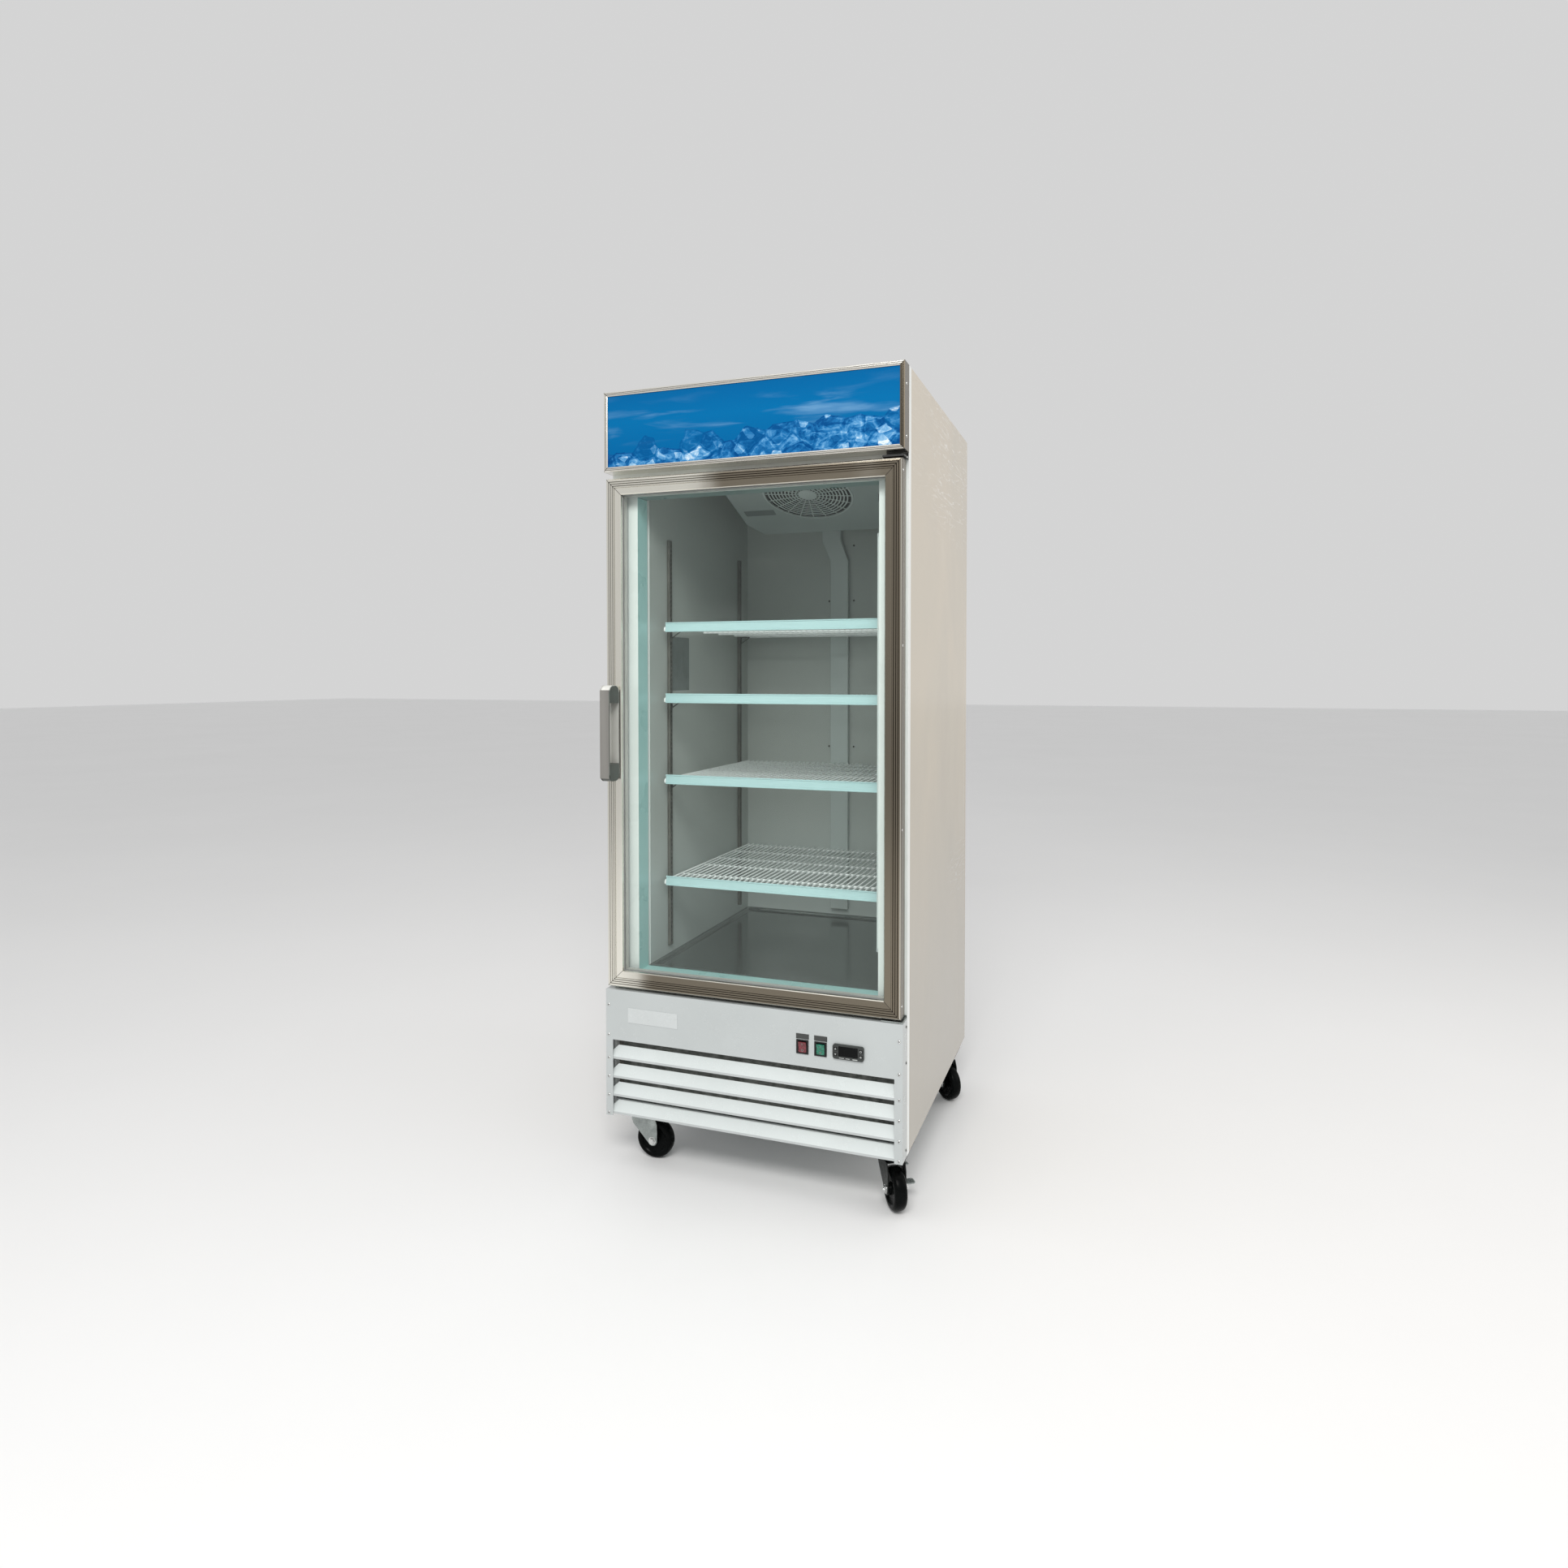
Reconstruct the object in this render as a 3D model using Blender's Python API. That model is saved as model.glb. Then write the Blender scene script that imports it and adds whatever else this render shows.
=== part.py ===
"""Glass-door reach-in refrigerator on four swivel casters.

Lengths are metres, +Z is up, the door faces -Y and the floor is z = 0. Shapes are laid out in a
cabinet frame (x = 0 on the centre line, y = 0 on the door's front) and shifted by SHIFT, so that the
origin is the middle of the bounding box on the floor.
"""
import math

import bmesh
import bpy
from mathutils import Matrix, Vector

# ---- driving dimensions -------------------------------------------------------------------------
SHIFT = Vector((-0.0096, -0.4060, 0.0))
GAP = 0.0003                    # clearance between pieces that touch
HALF_WIDTH = 0.3935             # outside of the side panels
BACK = 0.8670                   # back of the cabinet
CABINET_FRONT = 0.0475          # front of the face frame
UNDERSIDE = 0.1350              # bottom of the base tray above the floor
TOP = 2.0050
SHEET = 0.0012                  # folded steel sheet

CAVITY_HALF = 0.3205            # inside of the side walls
CAVITY_FLOOR = 0.5010
CAVITY_CEILING = 1.9200
CAVITY_FRONT = 0.1006
CAVITY_BACK = 0.8050
INSULATION_BASE = 0.4510
OPENING_HALF = 0.3215           # door opening in the face frame
OPENING_SILL = 0.5070
OPENING_HEAD = 1.7420
THROAT_BACK = 0.1000
THROAT_WALL = 0.0030

DOOR_HALF = 0.3877
DOOR_BOTTOM = 0.4750
DOOR_TOP = 1.7834
DOOR_BEZEL = 0.0412
DOOR_BACK = 0.0400
PANE = 0.0040
PANE_FRONT = 0.0160
PANE_REACH = 0.0095             # how far each pane goes behind the bezel
HINGE_X = 0.3720
HINGE_Y = 0.0210
HINGE_PIN_RADIUS = 0.0040
BORE_CLEARANCE = 0.00006
DOOR_BORE_DEPTH = 0.0160

HEADER_BOTTOM = 1.8020
HEADER_BORDER = 0.0115
PLINTH_TOP = 0.4670
CONTROL_PANEL_BOTTOM = 0.3360
POST_WIDTH = 0.0200
LOUVRE_LOWER_EDGES = (0.1400, 0.1865, 0.2345, 0.2840)
LOUVRE_RISE = 0.0410

SWITCH_CENTRES = {"power": 0.1466, "light": 0.1926}
SWITCH_Z = 0.3843
SWITCH_SIZE = (0.0310, 0.0345)
ROCKER_SIZE = (0.0200, 0.0262)
ROCKER_TILT = math.radians(8.0)
CONTROLLER_CENTRE = (0.2623, 0.3854)
CONTROLLER_SIZE = (0.0770, 0.0350)

SHELF_TOPS = (0.7250, 1.0010, 1.2210, 1.4130)
SHELF_HALF = 0.3000
SHELF_FRONT = 0.1680
SHELF_BACK = 0.7820
SHELF_WIRE = 0.0040
SHELF_WIRES = 17
SHELF_RODS = 3
STANDARD_YS = {"front": 0.2200, "rear": 0.7230}

CASTER_TRAIL = 0.0340
WHEEL_RADIUS = 0.0510
WHEEL_HALF_WIDTH = 0.0160
AXLE_RADIUS = 0.0050
# stem x, stem y, heading of the trailing wheel in degrees from +X, has a brake
CASTERS = {
    "front_left": (-0.3300, 0.0920, 0.0, True),
    "front_right": (0.3450, 0.0820, -57.0, True),
    "rear_left": (-0.3300, 0.7350, 24.0, False),
    "rear_right": (0.3450, 0.7350, -44.0, False),
}

EVAPORATOR_SLOPE = 0.3743
EVAPORATOR_HALF = 0.2450
EVAPORATOR_FRONT = 0.1700
EVAPORATOR_REAR = 0.6770
FAN_HOLE_RADIUS = 0.1290
FAN_Y = 0.4736


# ---- helpers ------------------------------------------------------------------------------------
def clear_scene():
    for obj in list(bpy.data.objects):
        bpy.data.objects.remove(obj, do_unlink=True)


def material(name, colour, roughness, metallic=0.0):
    found = bpy.data.materials.new(name)
    found.use_nodes = True
    shader = found.node_tree.nodes["Principled BSDF"]
    shader.inputs["Base Color"].default_value = (*colour, 1.0)
    shader.inputs["Roughness"].default_value = roughness
    shader.inputs["Metallic"].default_value = metallic
    found.diffuse_color = (*colour, 1.0)
    return found


def finish(name, bm, look, origin=(0.0, 0.0, 0.0), turn=0.0, smooth=False):
    """Make an object from a mesh laid out about its own origin, placed in the cabinet frame."""
    bmesh.ops.remove_doubles(bm, verts=bm.verts, dist=1e-7)
    bmesh.ops.recalc_face_normals(bm, faces=bm.faces)
    mesh = bpy.data.meshes.new(name)
    bm.to_mesh(mesh)
    bm.free()
    obj = bpy.data.objects.new(name, mesh)
    bpy.context.scene.collection.objects.link(obj)
    obj.location = Vector(origin) + SHIFT
    obj.rotation_euler = (0.0, 0.0, turn)
    if look:
        mesh.materials.append(look)
    if smooth:
        mesh.shade_smooth()
        mesh.set_sharp_from_angle(angle=math.radians(35.0))
    return obj


def shifted(points, origin):
    base = Vector(origin)
    return [Vector(p) - base for p in points]


def box_mesh(bm, low, high):
    centre = (Vector(low) + Vector(high)) / 2.0
    size = Vector(high) - Vector(low)
    place = Matrix.Translation(centre) @ Matrix.Diagonal((*size, 1.0))
    return bmesh.ops.create_cube(bm, size=1.0, matrix=place)["verts"]


def box(name, low, high, look, origin=(0.0, 0.0, 0.0), bevel=0.0, segments=2):
    bm = bmesh.new()
    base = Vector(origin)
    box_mesh(bm, Vector(low) - base, Vector(high) - base)
    obj = finish(name, bm, look, origin)
    if bevel:
        round_edges(obj, bevel, segments)
    return obj


def round_edges(obj, width, segments=2, angle=40.0):
    soften = obj.modifiers.new("rounded_edges", "BEVEL")
    soften.width = width
    soften.segments = segments
    soften.limit_method = "ANGLE"
    soften.angle_limit = math.radians(angle)


AXES = {
    "x": lambda a, b, c: (c, a, b),
    "y": lambda a, b, c: (a, c, b),
    "z": lambda a, b, c: (a, b, c),
}


def prism(name, outline, axis, start, end, look, origin=(0.0, 0.0, 0.0), turn=0.0, smooth=False):
    """Extrude a flat outline along an axis. Outline pairs are (y, z), (x, z) or (x, y)."""
    bm = bmesh.new()
    to_xyz = AXES[axis]
    ends = []
    for at in (start, end):
        ends.append([bm.verts.new(v) for v in shifted([to_xyz(a, b, at) for a, b in outline], origin)])
    bm.faces.new(ends[0])
    bm.faces.new(list(reversed(ends[1])))
    count = len(outline)
    for i in range(count):
        j = (i + 1) % count
        bm.faces.new((ends[0][i], ends[1][i], ends[1][j], ends[0][j]))
    return finish(name, bm, look, origin, turn, smooth)


def lathe(name, profile, axis, segments, look, origin=(0.0, 0.0, 0.0), turn=0.0, closed=False):
    """Turn (radius, height) points about an axis through the origin."""
    bm = bmesh.new()
    to_xyz = AXES[axis]
    rings = []
    for radius, height in profile:
        if radius < 1e-9:
            rings.append([bm.verts.new(to_xyz(0.0, 0.0, height))])
            continue
        ring = []
        for i in range(segments):
            angle = 2.0 * math.pi * i / segments
            ring.append(bm.verts.new(to_xyz(radius * math.cos(angle), radius * math.sin(angle), height)))
        rings.append(ring)
    pairs = list(zip(rings, rings[1:]))
    if closed:
        pairs.append((rings[-1], rings[0]))
    for low, high in pairs:
        for i in range(segments):
            j = (i + 1) % segments
            if len(low) == 1:
                bm.faces.new((low[0], high[i], high[j]))
            elif len(high) == 1:
                bm.faces.new((low[i], high[0], low[j]))
            else:
                bm.faces.new((low[i], high[i], high[j], low[j]))
    return finish(name, bm, look, origin, turn, smooth=True)


def rectangle_loop(bm, rect, inset, depth, upright):
    x0, x1, v0, v1 = rect
    corners = ((x0 + inset, v0 + inset), (x1 - inset, v0 + inset), (x1 - inset, v1 - inset), (x0 + inset, v1 - inset))
    if upright:
        return [bm.verts.new((a, depth, b)) for a, b in corners]
    return [bm.verts.new((a, b, depth)) for a, b in corners]


def rectangle_sweep(name, loops, look, capped=False, origin=(0.0, 0.0, 0.0), upright=True):
    """Join rectangular loops (rectangle, inset, depth) with mitred corners.

    An uncapped sweep closes on itself as a frame. A capped one is closed by its first and last loops.
    """
    bm = bmesh.new()
    rings = [rectangle_loop(bm, rect, inset, depth, upright) for rect, inset, depth in loops]
    pairs = list(zip(rings, rings[1:]))
    if not capped:
        pairs.append((rings[-1], rings[0]))
    for first, second in pairs:
        for i in range(4):
            j = (i + 1) % 4
            bm.faces.new((first[i], second[i], second[j], first[j]))
    if capped:
        bm.faces.new(rings[0])
        bm.faces.new(rings[-1])
    bmesh.ops.translate(bm, verts=bm.verts, vec=-Vector(origin))
    return finish(name, bm, look, origin)


def combine(target, others, operation):
    """Add to or cut from a target with hidden helper shapes."""
    for helper in others:
        step = target.modifiers.new(operation.lower(), "BOOLEAN")
        step.operation = operation
        step.solver = "EXACT"
        step.object = helper
        helper.hide_render = True
        helper.display_type = "WIRE"


def helper_box(low, high, origin=(0.0, 0.0, 0.0), turn=0.0):
    bm = bmesh.new()
    box_mesh(bm, low, high)
    return finish("helper", bm, None, origin, turn)


def helper_rod(centre, radius, start, end, axis, segments=24, origin=(0.0, 0.0, 0.0), turn=0.0):
    bm = bmesh.new()
    to_xyz = AXES[axis]
    ends = []
    for at in (start, end):
        ring = []
        for i in range(segments):
            angle = 2.0 * math.pi * i / segments
            a = centre[0] + radius * math.cos(angle)
            b = centre[1] + radius * math.sin(angle)
            ring.append(bm.verts.new(to_xyz(a, b, at)))
        ends.append(ring)
    bm.faces.new(ends[0])
    bm.faces.new(list(reversed(ends[1])))
    for i in range(segments):
        j = (i + 1) % segments
        bm.faces.new((ends[0][i], ends[1][i], ends[1][j], ends[0][j]))
    return finish("helper", bm, None, origin, turn)


def arc(centre, radius, start, end, steps):
    points = []
    for i in range(steps + 1):
        angle = math.radians(start + (end - start) * i / steps)
        points.append((centre[0] + radius * math.cos(angle), centre[1] + radius * math.sin(angle)))
    return points


clear_scene()

white_steel = material("white_steel", (0.82, 0.83, 0.82), 0.30)
liner_white = material("liner_white", (0.80, 0.82, 0.81), 0.40)
frame_plastic = material("frame_plastic", (0.62, 0.83, 0.80), 0.45)
silver_trim = material("silver_trim", (0.62, 0.60, 0.56), 0.28, 1.0)
handle_metal = material("handle_metal", (0.55, 0.55, 0.53), 0.32, 1.0)
grey_plastic = material("grey_plastic", (0.10, 0.11, 0.10), 0.45)
black_plastic = material("black_plastic", (0.015, 0.015, 0.016), 0.40)
black_steel = material("black_steel", (0.020, 0.022, 0.022), 0.35)
zinc = material("zinc", (0.42, 0.44, 0.43), 0.38, 1.0)
black_zinc = material("black_zinc", (0.045, 0.050, 0.050), 0.34, 0.6)
wheel_black = material("wheel_black", (0.012, 0.012, 0.012), 0.42)
gasket_rubber = material("gasket_rubber", (0.30, 0.31, 0.31), 0.70)
clear_glass = material("clear_glass", (0.80, 0.90, 0.87), 0.05)
sign_blue = material("sign_blue", (0.02, 0.23, 0.62), 0.18)
rocker_red = material("rocker_red", (0.45, 0.03, 0.06), 0.25)
rocker_green = material("rocker_green", (0.02, 0.45, 0.25), 0.25)
shelf_wire = material("shelf_wire", (0.80, 0.84, 0.83), 0.40)
standard_steel = material("standard_steel", (0.33, 0.34, 0.33), 0.40, 0.8)
pale_plastic = material("pale_plastic", (0.62, 0.70, 0.66), 0.45)
lamp_white = material("lamp_white", (0.75, 0.80, 0.78), 0.30)
fin_metal = material("fin_metal", (0.60, 0.61, 0.62), 0.40, 1.0)


# ---- casters ------------------------------------------------------------------------------------
def caster(label, stem_x, stem_y, heading, braked):
    stem = (stem_x, stem_y, 0.0)
    turn = math.radians(heading)
    side = 1.0 if stem_x > 0.0 else -1.0
    fork_look = zinc if label == "front_left" else black_zinc

    edge = side * (HALF_WIDTH - 0.0010)
    inner = side * 0.2900
    box(f"caster_plate_{label}", (min(edge, inner), stem_y - 0.055, UNDERSIDE - 0.0053),
        (max(edge, inner), stem_y + 0.055, UNDERSIDE - GAP), black_steel, bevel=0.0012, segments=1)

    leg = [(-0.026, 0.116), (-0.026, 0.100)]
    leg += arc((CASTER_TRAIL, WHEEL_RADIUS), 0.013, -145.0, 0.0, 6)
    leg += [(0.047, 0.080), (0.038, 0.116)]
    fork = prism(f"caster_fork_{label}", leg, "y", 0.0210, 0.0240, fork_look, turn=turn)
    fork.location = Vector(stem) + SHIFT
    other_leg = prism("helper", leg, "y", -0.0240, -0.0210, None, turn=turn)
    other_leg.location = fork.location
    extras = [
        other_leg,
        helper_box((-0.026, -0.0235, 0.1125), (0.0375, 0.0235, 0.1163), stem, turn),
        helper_rod((0.0, 0.0), 0.0300, 0.1160, 0.1292, "z", 24, stem, turn),
        helper_rod((CASTER_TRAIL, WHEEL_RADIUS), AXLE_RADIUS, -0.0290, 0.0290, "y", 24, stem, turn),
        helper_rod((CASTER_TRAIL, WHEEL_RADIUS), 0.0078, -0.0315, -0.0235, "y", 6, stem, turn),
        helper_rod((CASTER_TRAIL, WHEEL_RADIUS), 0.0078, 0.0235, 0.0315, "y", 6, stem, turn),
    ]
    if braked:
        extras.append(helper_rod((0.0120, 0.0780), 0.0040, 0.0235, 0.0305, "y", 16, stem, turn))
        extras.append(helper_rod((0.0120, 0.0780), 0.0065, 0.0293, 0.0315, "y", 16, stem, turn))
    combine(fork, extras, "UNION")

    hub = WHEEL_HALF_WIDTH + 0.0042
    bore = AXLE_RADIUS + BORE_CLEARANCE
    rim = WHEEL_RADIUS
    wide = WHEEL_HALF_WIDTH
    profile = [(bore, -hub), (0.0130, -hub), (0.0145, -0.011), (0.0330, -0.011), (0.0370, -wide)]
    profile += [(rim - 0.0045, -wide + 0.0020), (rim, 0.0)]
    profile += [(radius, -height) for radius, height in reversed(profile[:-1])]
    centre = Vector(stem) + Matrix.Rotation(turn, 3, "Z") @ Vector((CASTER_TRAIL, 0.0, WHEEL_RADIUS))
    lathe(f"caster_wheel_{label}", profile, "y", 24, wheel_black, centre, turn, closed=True)

    if braked:
        pivot = Vector(stem) + Matrix.Rotation(turn, 3, "Z") @ Vector((0.0120, 0.0, 0.0780))
        arm = [(-0.0110, -0.0310), (0.0090, -0.0310), (0.0090, 0.0080), (0.0070, 0.0190), (-0.0070, 0.0190)]
        arm += [(-0.0110, 0.0080)]
        lever = prism(f"brake_lever_{label}", arm, "y", 0.0246, 0.0276, zinc, turn=turn)
        lever.location = pivot + SHIFT
        tabs = [
            helper_box((-0.0150, 0.0270, -0.0310), (0.0080, 0.0580, -0.0278), pivot, turn),
            helper_box((-0.0060, 0.0270, 0.0162), (0.0060, 0.0400, 0.0190), pivot, turn),
        ]
        combine(lever, tabs, "UNION")
        hole = helper_rod((0.0, 0.0), 0.0040 + 2.0 * BORE_CLEARANCE, 0.0200, 0.0290, "y", 16, pivot, turn)
        combine(lever, [hole], "DIFFERENCE")


for caster_label, (caster_x, caster_y, caster_heading, caster_brake) in CASTERS.items():
    caster(caster_label, caster_x, caster_y, caster_heading, caster_brake)


# ---- cabinet shell ------------------------------------------------------------------------------
for side_label, side_sign in (("left", -1.0), ("right", 1.0)):
    outer = side_sign * HALF_WIDTH
    inner = side_sign * (HALF_WIDTH - 0.0010)
    box(f"side_panel_{side_label}", (min(outer, inner), CABINET_FRONT, UNDERSIDE + 0.0003),
        (max(outer, inner), BACK, TOP), white_steel)

shell_half = HALF_WIDTH - 0.0010 - GAP
foam = box("insulated_body", (-shell_half, CABINET_FRONT + 0.0063, INSULATION_BASE), (shell_half, BACK, TOP - 0.0002), liner_white)
cavity = helper_box((-CAVITY_HALF, CAVITY_FRONT, CAVITY_FLOOR), (CAVITY_HALF, CAVITY_BACK, CAVITY_CEILING))
throat_outer = OPENING_HALF + THROAT_WALL + GAP
throat = helper_box((-throat_outer, 0.0, OPENING_SILL - THROAT_WALL - GAP),
                    (throat_outer, CAVITY_FRONT + 0.0100, OPENING_HEAD + THROAT_WALL + GAP))
combine(foam, [cavity, throat], "DIFFERENCE")

face_outer = (-shell_half, shell_half, PLINTH_TOP + 0.0008, TOP - 0.0005)
face_opening = (-OPENING_HALF, OPENING_HALF, OPENING_SILL, OPENING_HEAD)
rectangle_sweep("face_frame", [
    (face_outer, 0.0, CABINET_FRONT),
    (face_opening, 0.0, CABINET_FRONT),
    (face_opening, 0.0, THROAT_BACK),
    (face_opening, -THROAT_WALL, THROAT_BACK),
    (face_opening, -THROAT_WALL, CABINET_FRONT + 0.0060),
    (face_outer, 0.0, CABINET_FRONT + 0.0060),
], frame_plastic)

tray_rect = (-shell_half, shell_half, 0.0485, BACK - 0.0010)
rectangle_sweep("base_tray", [
    (tray_rect, SHEET, UNDERSIDE + SHEET),
    (tray_rect, SHEET, UNDERSIDE + 0.0260),
    (tray_rect, 0.0, UNDERSIDE + 0.0260),
    (tray_rect, 0.0, UNDERSIDE),
], white_steel, capped=True, upright=False)


# ---- plinth: grille frame, louvre blades and controls ----------------------------------------------
post_inner = HALF_WIDTH - POST_WIDTH
post_foot = UNDERSIDE + 0.0010
face = [(-HALF_WIDTH, post_foot), (-post_inner, post_foot), (-post_inner, CONTROL_PANEL_BOTTOM)]
face += [(post_inner, CONTROL_PANEL_BOTTOM), (post_inner, post_foot), (HALF_WIDTH, post_foot)]
face += [(HALF_WIDTH, PLINTH_TOP), (-HALF_WIDTH, PLINTH_TOP)]
grille = prism("grille_frame", face, "y", 0.0, 0.0015, white_steel)
tuck = 0.0003
folds = [
    helper_box((-HALF_WIDTH + tuck, 0.0007, PLINTH_TOP - 0.0018), (HALF_WIDTH - tuck, 0.0460, PLINTH_TOP - tuck)),
    helper_box((-post_inner + tuck, 0.0007, CONTROL_PANEL_BOTTOM + tuck),
               (post_inner - tuck, 0.0120, CONTROL_PANEL_BOTTOM + 0.0018)),
]
for side_sign in (-1.0, 1.0):
    legs = sorted((side_sign * (HALF_WIDTH - 0.0001), side_sign * (HALF_WIDTH - 0.0016)))
    folds.append(helper_box((legs[0], 0.0007, post_foot + tuck), (legs[1], 0.0458, PLINTH_TOP - 0.0010)))
combine(grille, folds, "UNION")

blade_reach = HALF_WIDTH - 0.0030
for number, lower in enumerate(LOUVRE_LOWER_EDGES, start=1):
    upper = lower + LOUVRE_RISE
    outline = [
        (0.0021, lower + 0.0080), (0.0021, lower), (0.0120, lower), (0.0120, lower + SHEET),
        (0.0021 + SHEET, lower + SHEET), (0.0021 + SHEET, lower + 0.0078), (0.0200, upper - 0.0030),
        (0.0200, upper), (0.0188, upper), (0.0188, upper - 0.0024),
    ]
    prism(f"louvre_blade_{number}", outline, "x", -blade_reach, blade_reach, white_steel)

cutouts = []
for switch_label, switch_x in SWITCH_CENTRES.items():
    half_w, half_h = SWITCH_SIZE[0] / 2.0, SWITCH_SIZE[1] / 2.0
    rocker_w, rocker_h = ROCKER_SIZE[0] / 2.0, ROCKER_SIZE[1] / 2.0
    housing = box(f"{switch_label}_switch_body", (switch_x - half_w, -0.0028, SWITCH_Z - half_h),
                  (switch_x + half_w, -GAP, SWITCH_Z + half_h), black_plastic)
    barrel = helper_box((switch_x - half_w + 0.0030, -0.0010, SWITCH_Z - half_h + 0.0030),
                        (switch_x + half_w - 0.0030, 0.0220, SWITCH_Z + half_h - 0.0030))
    combine(housing, [barrel], "UNION")
    well = helper_box((switch_x - rocker_w - 0.0004, -0.0100, SWITCH_Z - rocker_h - 0.0009),
                      (switch_x + rocker_w + 0.0004, 0.0090, SWITCH_Z + rocker_h + 0.0009))
    combine(housing, [well], "DIFFERENCE")
    cutouts.append(helper_box((switch_x - half_w + 0.0026, -0.0100, SWITCH_Z - half_h + 0.0026),
                              (switch_x + half_w - 0.0026, 0.0100, SWITCH_Z + half_h - 0.0026)))
    wedge = [(-0.0040, -rocker_h), (-0.0063, -rocker_h), (-0.0052, 0.0), (-0.0063, rocker_h), (-0.0040, rocker_h)]
    wedge += [(0.0030, 0.0050), (0.0030, -0.0050)]
    rocker_look = rocker_red if switch_label == "power" else rocker_green
    rocker = prism(f"{switch_label}_rocker", wedge, "x", -rocker_w, rocker_w, rocker_look)
    rocker.location = Vector((switch_x, 0.0020, SWITCH_Z)) + SHIFT
    rocker.rotation_euler = (ROCKER_TILT, 0.0, 0.0)
    round_edges(rocker, 0.0005, 1)

control_x, control_z = CONTROLLER_CENTRE
control_w, control_h = CONTROLLER_SIZE[0] / 2.0, CONTROLLER_SIZE[1] / 2.0
controller = box("temperature_controller", (control_x - control_w, -0.0055, control_z - control_h),
                 (control_x + control_w, -GAP, control_z + control_h), grey_plastic)
control_body = helper_box((control_x - control_w + 0.0030, -0.0010, control_z - control_h + 0.0030),
                          (control_x + control_w - 0.0030, 0.0450, control_z + control_h - 0.0030))
combine(controller, [control_body], "UNION")
wells = [helper_box((control_x - 0.0240, -0.0100, control_z - 0.0105), (control_x + 0.0240, -0.0043, control_z + 0.0135))]
cutouts.append(helper_box((control_x - control_w + 0.0026, -0.0100, control_z - control_h + 0.0026),
                          (control_x + control_w - 0.0026, 0.0100, control_z + control_h - 0.0026)))
BUTTON_SPOTS = ((-0.0312, 0.0065), (-0.0312, -0.0065), (0.0312, 0.0065), (0.0312, -0.0065))
for number, (dx, dz) in enumerate(BUTTON_SPOTS, start=1):
    x, z = control_x + dx, control_z + dz
    wells.append(helper_box((x - 0.0043, -0.0100, z - 0.0043), (x + 0.0043, -0.0015, z + 0.0043)))
    box(f"controller_button_{number}", (x - 0.0040, -0.0062, z - 0.0040), (x + 0.0040, -0.0026, z + 0.0040),
        black_plastic, origin=(x, -0.0044, z), bevel=0.0005, segments=1)
combine(controller, wells, "DIFFERENCE")
combine(grille, cutouts, "DIFFERENCE")


# ---- door ---------------------------------------------------------------------------------------
hinge = (HINGE_X, HINGE_Y, DOOR_BOTTOM)
door_rect = (-DOOR_HALF, DOOR_HALF, DOOR_BOTTOM, DOOR_TOP)
sight = DOOR_BEZEL
rebate = DOOR_BEZEL - PANE_REACH - 0.0005
ribs = [(door_rect, 0.0, DOOR_BACK), (door_rect, 0.0, 0.0030), (door_rect, 0.0025, 0.0008)]
for start in (0.0070, 0.0125, 0.0180):
    ribs += [(door_rect, start, 0.0), (door_rect, start + 0.0010, 0.0012), (door_rect, start + 0.0020, 0.0)]
ribs += [
    (door_rect, 0.0230, 0.0), (door_rect, 0.0240, 0.0022), (door_rect, sight - 0.0020, 0.0022),
    (door_rect, sight, 0.0042), (door_rect, sight, PANE_FRONT - GAP),
    (door_rect, rebate, PANE_FRONT - GAP), (door_rect, rebate, DOOR_BACK),
]
door_frame = rectangle_sweep("door_frame", ribs, silver_trim, origin=hinge)
bore_radius = HINGE_PIN_RADIUS + BORE_CLEARANCE
bores = [
    helper_rod((HINGE_X, HINGE_Y), bore_radius, DOOR_BOTTOM - 0.0100, DOOR_BOTTOM + DOOR_BORE_DEPTH, "z"),
    helper_rod((HINGE_X, HINGE_Y), bore_radius, DOOR_TOP - DOOR_BORE_DEPTH, DOOR_TOP + 0.0100, "z"),
]
combine(door_frame, bores, "DIFFERENCE")

pane_inset = DOOR_BEZEL - PANE_REACH
pane_low = (-DOOR_HALF + pane_inset, DOOR_BOTTOM + pane_inset)
pane_high = (DOOR_HALF - pane_inset, DOOR_TOP - pane_inset)
inner_front = DOOR_BACK - PANE - GAP
box("glass_outer", (pane_low[0], PANE_FRONT, pane_low[1]), (pane_high[0], PANE_FRONT + PANE, pane_high[1]),
    clear_glass, origin=hinge)
box("glass_inner", (pane_low[0], inner_front, pane_low[1]), (pane_high[0], inner_front + PANE, pane_high[1]),
    clear_glass, origin=hinge)

seal_outer = 0.0135
seal_inner = 0.0345
rectangle_sweep("door_gasket", [
    (door_rect, seal_outer, DOOR_BACK + GAP), (door_rect, seal_inner, DOOR_BACK + GAP),
    (door_rect, seal_inner, DOOR_BACK + 0.0030), (door_rect, seal_inner - 0.0030, DOOR_BACK + 0.0068),
    (door_rect, seal_outer + 0.0030, DOOR_BACK + 0.0068), (door_rect, seal_outer, DOOR_BACK + 0.0030),
], gasket_rubber, origin=hinge)

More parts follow.
